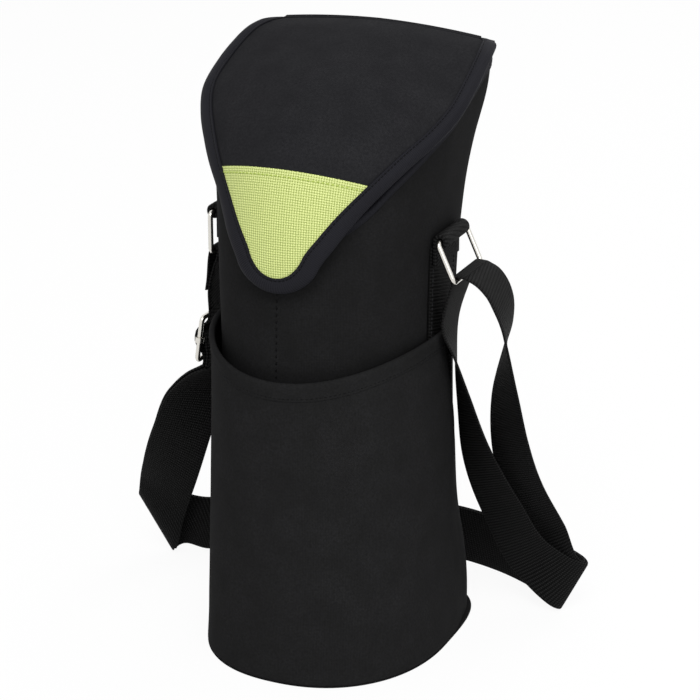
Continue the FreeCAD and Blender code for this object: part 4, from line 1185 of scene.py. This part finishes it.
def shared_runs():
    """The doubled stretch in two lengths: slider to behind the body, and from there round the right fold."""
    start = strap_point(SLIDER_PITCH / 2 + STRAP_END_ROOM, -WEB_WRAP - STRAP_LAYER_PITCH / 2)
    rise = with_normals([level_end(start)] + metre_pairs(LEFT_RISE), RIGHT)
    turn_left = fold_pairs(LEFT_FOLD, LEFT_FOLD_OUTWARD, rise[-1][1])
    floor_run = with_normals(metre_pairs(FLOOR_RUN), DEPTH)
    turn_right = fold_pairs(RIGHT_FOLD, RIGHT, DEPTH)
    return rise + turn_left + floor_run[:FLOOR_SPLIT + 1], floor_run[FLOOR_SPLIT:] + turn_right


def shifted(laid, offset):
    """Pairs moved along their face directions."""
    return [[low + normal * offset, high + normal * offset] for (low, high), normal in laid]


def free_strap(inner_end, outer_end):
    """The strap's two free layers, each as a left and a right stretch."""
    left, right = shared_runs()
    layers = (("front", STRAP_LAYER_PITCH / 2, FRONT_BAND, inner_end),
              ("rear", -STRAP_LAYER_PITCH / 2, REAR_BAND, outer_end))
    for layer, offset, band, end in layers:
        node = f"strap_{layer}_layer"
        left_web = rounded_web(f"strap_{layer}_left_web", shifted(left, offset), None, node)
        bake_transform(left_web)
        pairs = shifted(right, offset) + metre_pairs(band) + [level_end(end)]
        right_web = rounded_web(f"strap_{layer}_right_web", pairs, None, node)
        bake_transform(right_web)


# Wire hardware
def wire_piece(name, points, radius, closed, body, *nodes):
    """Round wire along a line of points, as a closed loop or with flat ends."""
    curve = bpy.data.curves.new(name, "CURVE")
    curve.dimensions = "3D"
    spline = curve.splines.new("POLY")
    spline.points.add(len(points) - 1)
    for entry, point in zip(spline.points, points):
        entry.co = (*point, 1)
    spline.use_cyclic_u = closed
    curve.bevel_depth = radius
    curve.bevel_resolution = WIRE_ROUNDNESS
    curve.use_fill_caps = not closed
    mesh = made_mesh(link_object(name + "_line", curve))
    mesh.polygons.foreach_set("use_smooth", [True] * len(mesh.polygons))
    return dress(link_object(name, mesh), NICKEL, "wire", body, *nodes)


def wire_loop(name, top, pitch, lean, body, node):
    """Bent wire rectangle with round corners, its upper bar at the top point."""
    half, low = RING_HALF - RING_CORNER, RING_CORNER - pitch
    corners = ((half, -RING_CORNER), (-half, -RING_CORNER), (-half, low), (half, low))
    swing = math.radians(lean)
    points = []
    for index, (y, down) in enumerate(corners):
        for step in range(CORNER_STEPS + 1):
            turn = math.radians(QUARTER_TURN * index + QUARTER_TURN * step / CORNER_STEPS)
            across = y + RING_CORNER * math.cos(turn)
            drop = down + RING_CORNER * math.sin(turn)
            points.append(top + Vector((drop * math.sin(swing), across, drop * math.cos(swing))))
    return wire_piece(name, points, WIRE_RADIUS, True, body, node)


def hardware():
    """The two rings, and the slider's frame, middle bar and collars."""
    middle = DEPTH * WEB_Y
    left, right = [Vector((side * TAB_X, 0, TAB_Z)) + middle for side in (-1, 1)]
    wire_loop("ring_left_wire", left, RING_PITCH, 0, "ring_left", "ring_left")
    wire_loop("ring_right_wire", right, RING_PITCH, -RING_RIGHT_LEAN, "ring_right", "ring_right")
    top = strap_point(-SLIDER_PITCH / 2, 0) + middle
    wire_loop("slider_wire", top, SLIDER_PITCH, SLIDER_LEAN, "slider", "slider_frame")
    centre = strap_point(0, 0) + middle
    reach = DEPTH * (RING_HALF - WIRE_RADIUS)
    bar = [centre - reach, centre, centre + reach]
    wire_piece("slider_bar_wire", bar, WIRE_RADIUS, False, "slider", "slider_bar")
    along = strap_point(SLIDER_COLLAR_LONG / 2, 0) - strap_point(0, 0)
    for label, side in (("front", -1), ("rear", 1)):
        rail = centre + DEPTH * (side * RING_HALF)
        line = [rail - along, rail, rail + along]
        wire_piece(f"slider_collar_{label}", line, SLIDER_COLLAR, False, "slider")


# Flap
def flap_table():
    """Keys along the flap's edge, and rows of half width, place, crown slope and tilt."""
    rows = []
    for width, reach, drop, crown, tilt in FLAP_STATION_SHARES:
        half = width * FLAP_HALF_WIDTH
        rows.append((half, FLAP_FOLD_Y - reach * FLAP_REACH, FLAP_FOLD_Z - drop * FLAP_DROP,
                     crown * FLAP_CROWN / half, math.radians(tilt)))
    tip_reach, tip_drop = FLAP_TIP_SHARES
    rows.append((0, FLAP_FOLD_Y - tip_reach * FLAP_REACH, FLAP_FOLD_Z - tip_drop * FLAP_DROP,
                 FLAP_TIP_SLOPE, 0))
    rows.append((-rows[-2][0],) + rows[-2][1:])
    table = np.array(rows)
    return lengths(table[:, :3]), table


FLAP_KEYS, FLAP_TABLE = flap_table()
FLAP_EDGE = FLAP_KEYS[-2]


def flap_points(across, along, drop):
    """Points of the flap: across from -1 to 1, along from 0 at the fold to 1 at the tip, sunk by the drop."""
    across, along = np.broadcast_arrays(np.asarray(across, float), np.asarray(along, float))
    shape = across.shape
    half, y, z, slope, tilt = through_rows(FLAP_KEYS, FLAP_TABLE, along.ravel() * FLAP_EDGE).T
    half = np.maximum(half, FLAP_LEAST_HALF)
    turn = 2 * np.arctan(slope)
    radius = half / np.sin(turn)
    angle = across.ravel() * turn
    rise = (radius - drop) * np.cos(angle) - radius * np.cos(turn)
    x = (radius - drop) * np.sin(angle)
    fade = np.clip(1 - along.ravel() / FLAP_TUCK_REACH, 0, 1) ** 2
    x = np.where(x < 0, x * (1 - FLAP_TUCK * fade), x)
    z = z - FLAP_RIGHT_DROOP * fade * np.clip(across.ravel(), 0, 1)
    return np.stack([x, y - np.cos(tilt) * rise, z + np.sin(tilt) * rise], axis=1).reshape(shape + (3,))


def flap_grid(first, last, edge, drop, rows, columns):
    """Grid of the flap between two shares along it, with its rows closer together towards the tip."""
    along = first + (last - first) * np.sin(np.linspace(0, math.pi / 2, rows))
    across = np.linspace(edge, -edge, columns)
    return flap_points(across[None, :], along[:, None], drop)


def flap_pad():
    """Padded flap: canvas over foam, slightly plumped between its edges, and the lining under it."""
    points = flap_grid(0, FLAP_PAD_END, FLAP_PAD_SIDE, 0, FLAP_PAD_ROWS, FLAP_PAD_COLUMNS)
    points = waved(points, grid_normals(points, False), FLAP_HOLLOW, FLAP_WAVE, FLAP_SEED)
    item = thicken(grid_object("flap_pad", points), FLAP_PAD_THICK)
    dress(item, LIT_FLAP_CANVAS, "shell_cloth", "flap", "flap_outer", "flap_foam")
    below = flap_grid(FLAP_LINING_START, FLAP_LINING_END, FLAP_LINING_SIDE, FLAP_LINING_DROP,
                      FLAP_LINING_ROWS, FLAP_LINING_COLUMNS)
    cloth_piece("flap_lining_cloth", below, FLAP_LINING_THICK, 0, LINING, "lining", "flap", "flap_lining")
    faces = [tuple(face.vertices) for face in item.data.polygons]
    return BVHTree.FromPolygons([Vector(point) for point in points.reshape(-1, 3)], faces)


def edge_normals(side, along):
    """Directions out of the flap's face near its edge, shorter where the tape lies flatter."""
    near = FLAP_NORMAL_SIDE * side
    within = np.minimum(along, FLAP_NORMAL_END)
    right, left = [flap_points(near + step, within, 0) for step in (FLAP_NORMAL_ACROSS, -FLAP_NORMAL_ACROSS)]
    down, up = [flap_points(near, within + step, 0) for step in (FLAP_NORMAL_ALONG, -FLAP_NORMAL_ALONG)]
    normal = np.cross(down - up, right - left)
    normal /= np.linalg.norm(normal, axis=1, keepdims=True)
    return normal * np.interp(along, (0, FLAP_TAPE_TAPER), (FLAP_TAPE_FLAT, 1))[:, None]


def tape_widths(side, along):
    """Widths of the flap's tape on its face."""
    right = np.interp(along, FLAP_TAPE_ALONG, FLAP_TAPE_WIDTHS)
    left = np.interp(along, FLAP_TAPE_ALONG, FLAP_TAPE_LEFT_WIDTHS)
    return np.where(side > 0, right, left)


def flap_edge():
    """Round the flap's edge from the fold's right end over the tip to its left: point, normal, widths."""
    along = np.concatenate([np.linspace(0, 1, FLAP_EDGE_STEPS), np.linspace(1, 0, FLAP_EDGE_STEPS)[1:]])
    side = np.concatenate([np.ones(FLAP_EDGE_STEPS), -np.ones(FLAP_EDGE_STEPS - 1)])
    points = flap_points(side, along, 0)
    normal = edge_normals(side, along)
    middle = flap_points(0 * side, np.maximum(along - FLAP_INWARD_BACK, 0), 0) - points
    inward = np.cross(normal, np.gradient(points, axis=0))
    inward *= np.sign(np.sum(inward * middle, axis=1, keepdims=True))
    inward /= np.linalg.norm(inward, axis=1, keepdims=True)
    cut = FLAP_TAPE_END_CUT * np.clip(1 - along / FLAP_TAPE_END, 0, 1) ** 2
    points = points + inward * cut[:, None]
    inward *= tape_widths(side, along)[:, None]
    padded = np.pad(inward, ((FLAP_TAPE_EASE, FLAP_TAPE_EASE), (0, 0)), mode="edge")
    count = 2 * FLAP_TAPE_EASE + 1
    eased = sum(padded[shift:shift + len(inward)] for shift in range(count)) / count
    return [[Vector(part) for part in parts] for parts in zip(points, normal, inward, eased)]


def on_flap(surface, frame_at, across, rise):
    """A point of the flap's tape: a share of its width from the edge, or millimetres round it, and a rise."""
    point, normal, inward, eased = frame_at
    if across <= 0 or rise < 0:
        return point + inward.normalized() * across * MM + normal * rise * MM
    place, face, index, gap = surface.find_nearest(point + eased * across)
    face = face if face.dot(normal) > 0 else -face
    return place + face * normal.length * rise * MM


def flap_tape(surface):
    """Binding tape folded round the flap's edge, puffed between its stitches and the edge."""
    frames = flap_edge()
    rows = [[tuple(on_flap(surface, frame, *place)) for place in FLAP_TAPE_PROFILE] for frame in frames]
    points = np.array(rows)
    points = np.concatenate([points, points[:, :1]], axis=1)
    rolled_piece("flap_tape", points, BINDING, "binding", "flap", "flap_binding")
    line = [on_flap(surface, frame, *FLAP_TAPE_SEAM) for frame in frames]
    sewn("flap_tape_stitches", [line], TAPE_STITCH, BLACK_THREAD, "binding", "flap")


def accent_panel():
    """Lime woven panel on the tongue, with a turned and stitched top edge that sags a little at its ends."""
    across = np.linspace(ACCENT_SIDE, -ACCENT_SIDE, ACCENT_COLUMNS)
    first = (FLAP_KEYS[ACCENT_STATION] + ACCENT_TOP_DROP + ACCENT_TOP_SAG * across ** 2) / FLAP_EDGE
    share = np.sin(np.linspace(0, math.pi / 2, ACCENT_ROWS))[:, None]
    points = flap_points(across[None, :], first + (ACCENT_END - first) * share, -ACCENT_LIFT)
    cloth_piece("flap_accent_cloth", points, ACCENT_THICK, ACCENT_RIM, LIME, "accent", "flap", "flap_accent")
    line = flap_points(across, first + ACCENT_HEM / FLAP_EDGE, -ACCENT_LIFT - THREAD_LIFT)[ACCENT_SEAM]
    sewn("flap_accent_stitches", [line], HEM_STITCH, LIME_THREAD, "accent", "flap")


def closing_tape():
    """Soft tape on the front under the tongue, and hooked tape inside the tongue."""
    form = wall_form(False, -TAPE_STAND)
    x = np.linspace(-TAPE_HALF, TAPE_HALF, TAPE_COLUMNS)
    heights = np.linspace(TAPE_LOW, TAPE_HIGH, TAPE_ROWS)
    points = np.array([across_wall(form, z, x, facing=1, side=-1) for z in heights])
    loop = thicken(grid_object("loop_tape_patch", points), TAPE_THICK, TAPE_RIM)
    dress(loop, GRIP, "closing_tape", "carrier", "loop_tape")
    tongue_z, tongue_keys = FLAP_TABLE[TONGUE_STATIONS, 2], FLAP_KEYS[TONGUE_STATIONS]
    along = np.interp((TAPE_HIGH, TAPE_LOW), tongue_z, tongue_keys) / FLAP_EDGE
    half = np.interp(along, FLAP_KEYS / FLAP_EDGE, FLAP_TABLE[:, 0])
    share = np.linspace(-1, 1, TAPE_COLUMNS)[None, :] * (TAPE_HALF / half.mean())
    under = flap_points(share, np.linspace(*along, TAPE_ROWS)[:, None], HOOK_DROP)
    hook = thicken(grid_object("hook_tape_patch", under), TAPE_THICK, TAPE_RIM)
    dress(hook, GRIP, "closing_tape", "flap", "hook_tape")


def back_fold():
    """Canvas strip that joins the flap to the back, over the top of the wall."""
    across = np.linspace(FOLD_SIDE, -FOLD_SIDE, FOLD_COLUMNS)
    form = wall_form(False, -FOLD_STAND)
    x = across * FLAP_TABLE[0, 0]
    heights = np.linspace(FOLD_LOW, FOLD_HIGH, FOLD_LEVELS)
    rows = [across_wall(form, z, x, facing=1, side=1) for z in heights]
    rows += [flap_points(across, along, -FOLD_LIFT) for along in FOLD_ON_FLAP]
    table = np.array(rows).reshape(len(rows), -1)
    fine = np.linspace(0, len(rows) - 1, FOLD_ROWS)
    points = through_rows(np.arange(len(rows)), table, fine).reshape(len(fine), len(across), 3)
    item = cloth_piece("back_fold_cloth", points, FOLD_THICK, CLOTH_RIM, LIT_FLAP_CANVAS, "shell_cloth", None)
    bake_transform(item)
    lines = [points[row] + DEPTH * THREAD_LIFT for row in FOLD_SEAM_ROWS]
    sewn("back_fold_stitches", lines, CANVAS_STITCH, CHARCOAL_THREAD, "shell_cloth", "carrier")


# Room, light and camera
def seen_rays(tree):
    """One for rays from the camera and for reflected rays, else nothing."""
    path = add(tree, "ShaderNodeLightPath").outputs
    rays = {0: path["Is Camera Ray"], 1: path["Is Glossy Ray"]}
    return add(tree, "ShaderNodeMath", rays, operation="MAXIMUM").outputs[0]


def white_floor():
    """Matte white studio floor, near white to the camera and in reflections, with a faint shadow."""
    material, tree, shader = new_material("white_floor")
    connect(tree, shader, {"Base Color": linear("#f4f4f4"), "Roughness": 0.9})
    share = product(tree, seen_rays(tree), FLOOR_GLOW_SHARE)
    glow = add(tree, "ShaderNodeEmission", {"Color": (1, 1, 1, 1), "Strength": 1.0})
    both = add(tree, "ShaderNodeMixShader", {0: share, 1: shader.outputs[0], 2: glow.outputs[0]})
    connect(tree, tree.nodes["Material Output"], {"Surface": both.outputs[0]})
    return material


def white_room():
    """Even white light from all round, brighter to the camera and in reflections."""
    world = bpy.data.worlds.new("studio")
    world.use_nodes = True
    bpy.context.scene.world = world
    tree = world.node_tree
    tree.nodes.clear()
    strength = spread(tree, seen_rays(tree), low=WORLD_LIGHT, high=1.0)
    glow = add(tree, "ShaderNodeBackground", {"Color": (1, 1, 1, 1), "Strength": strength})
    add(tree, "ShaderNodeOutputWorld", {"Surface": glow.outputs[0]})


def lamp(name, place, width, power):
    """Square lamp turned towards the carrier."""
    data = bpy.data.lights.new(name, "AREA")
    data.size = width
    data.energy = power
    item = link_object(name, data)
    item.location = place
    item.rotation_euler = (LAMP_AIM - Vector(place)).to_track_quat("-Z", "Y").to_euler()


def stage():
    """The floor, the room's light and the lamps."""
    mesh = bpy.data.meshes.new("floor")
    corners = [(x * FLOOR_REACH, y * FLOOR_REACH, 0) for x, y in ((-1, -1), (1, -1), (1, 1), (-1, 1))]
    mesh.from_pydata(corners, [], [(0, 1, 2, 3)])
    floor = link_object("floor", mesh)
    floor.data.materials.append(white_floor())
    white_room()
    for row in LAMPS:
        lamp(*row)


def camera():
    """The camera that fits the photograph."""
    data = bpy.data.cameras.new("camera")
    data.lens = CAMERA_LENS
    data.sensor_width = CAMERA_SENSOR
    item = link_object("camera", data)
    item.location = CAMERA_PLACE
    item.rotation_euler = CAMERA_LOOK.to_track_quat("-Z", "Y").to_euler()
    bpy.context.scene.camera = item


bpy.context.scene.view_settings.view_transform = "Standard"
camera()
stage()
free_strap(*ring_pass())
sewn_end()
slider_webs()
hardware()
body_cloth()
inner_sleeve("insulation_foam", INSULATION_INSET, INSULATION_THICK, WALL_LOW, INSULATION_RECESS, FOAM, "foam",
             "insulation_sleeve")
inner_sleeve("lining_cloth", LINING_INSET, LINING_THICK, LINING_LOW, LINING_RECESS, LINING, "lining",
             "lining_sleeve")
mouth_tape()
pocket()
base_pieces()
side_web("side_web_left_strip", -1, "side_web_left")
side_web("side_web_right_strip", 1, "side_web_right")
ring_tab("ring_tab_left_web", -1, "ring_tab_left")
ring_tab("ring_tab_right_web", 1, "ring_tab_right")
flap_tape(flap_pad())
accent_panel()
closing_tape()
back_fold()
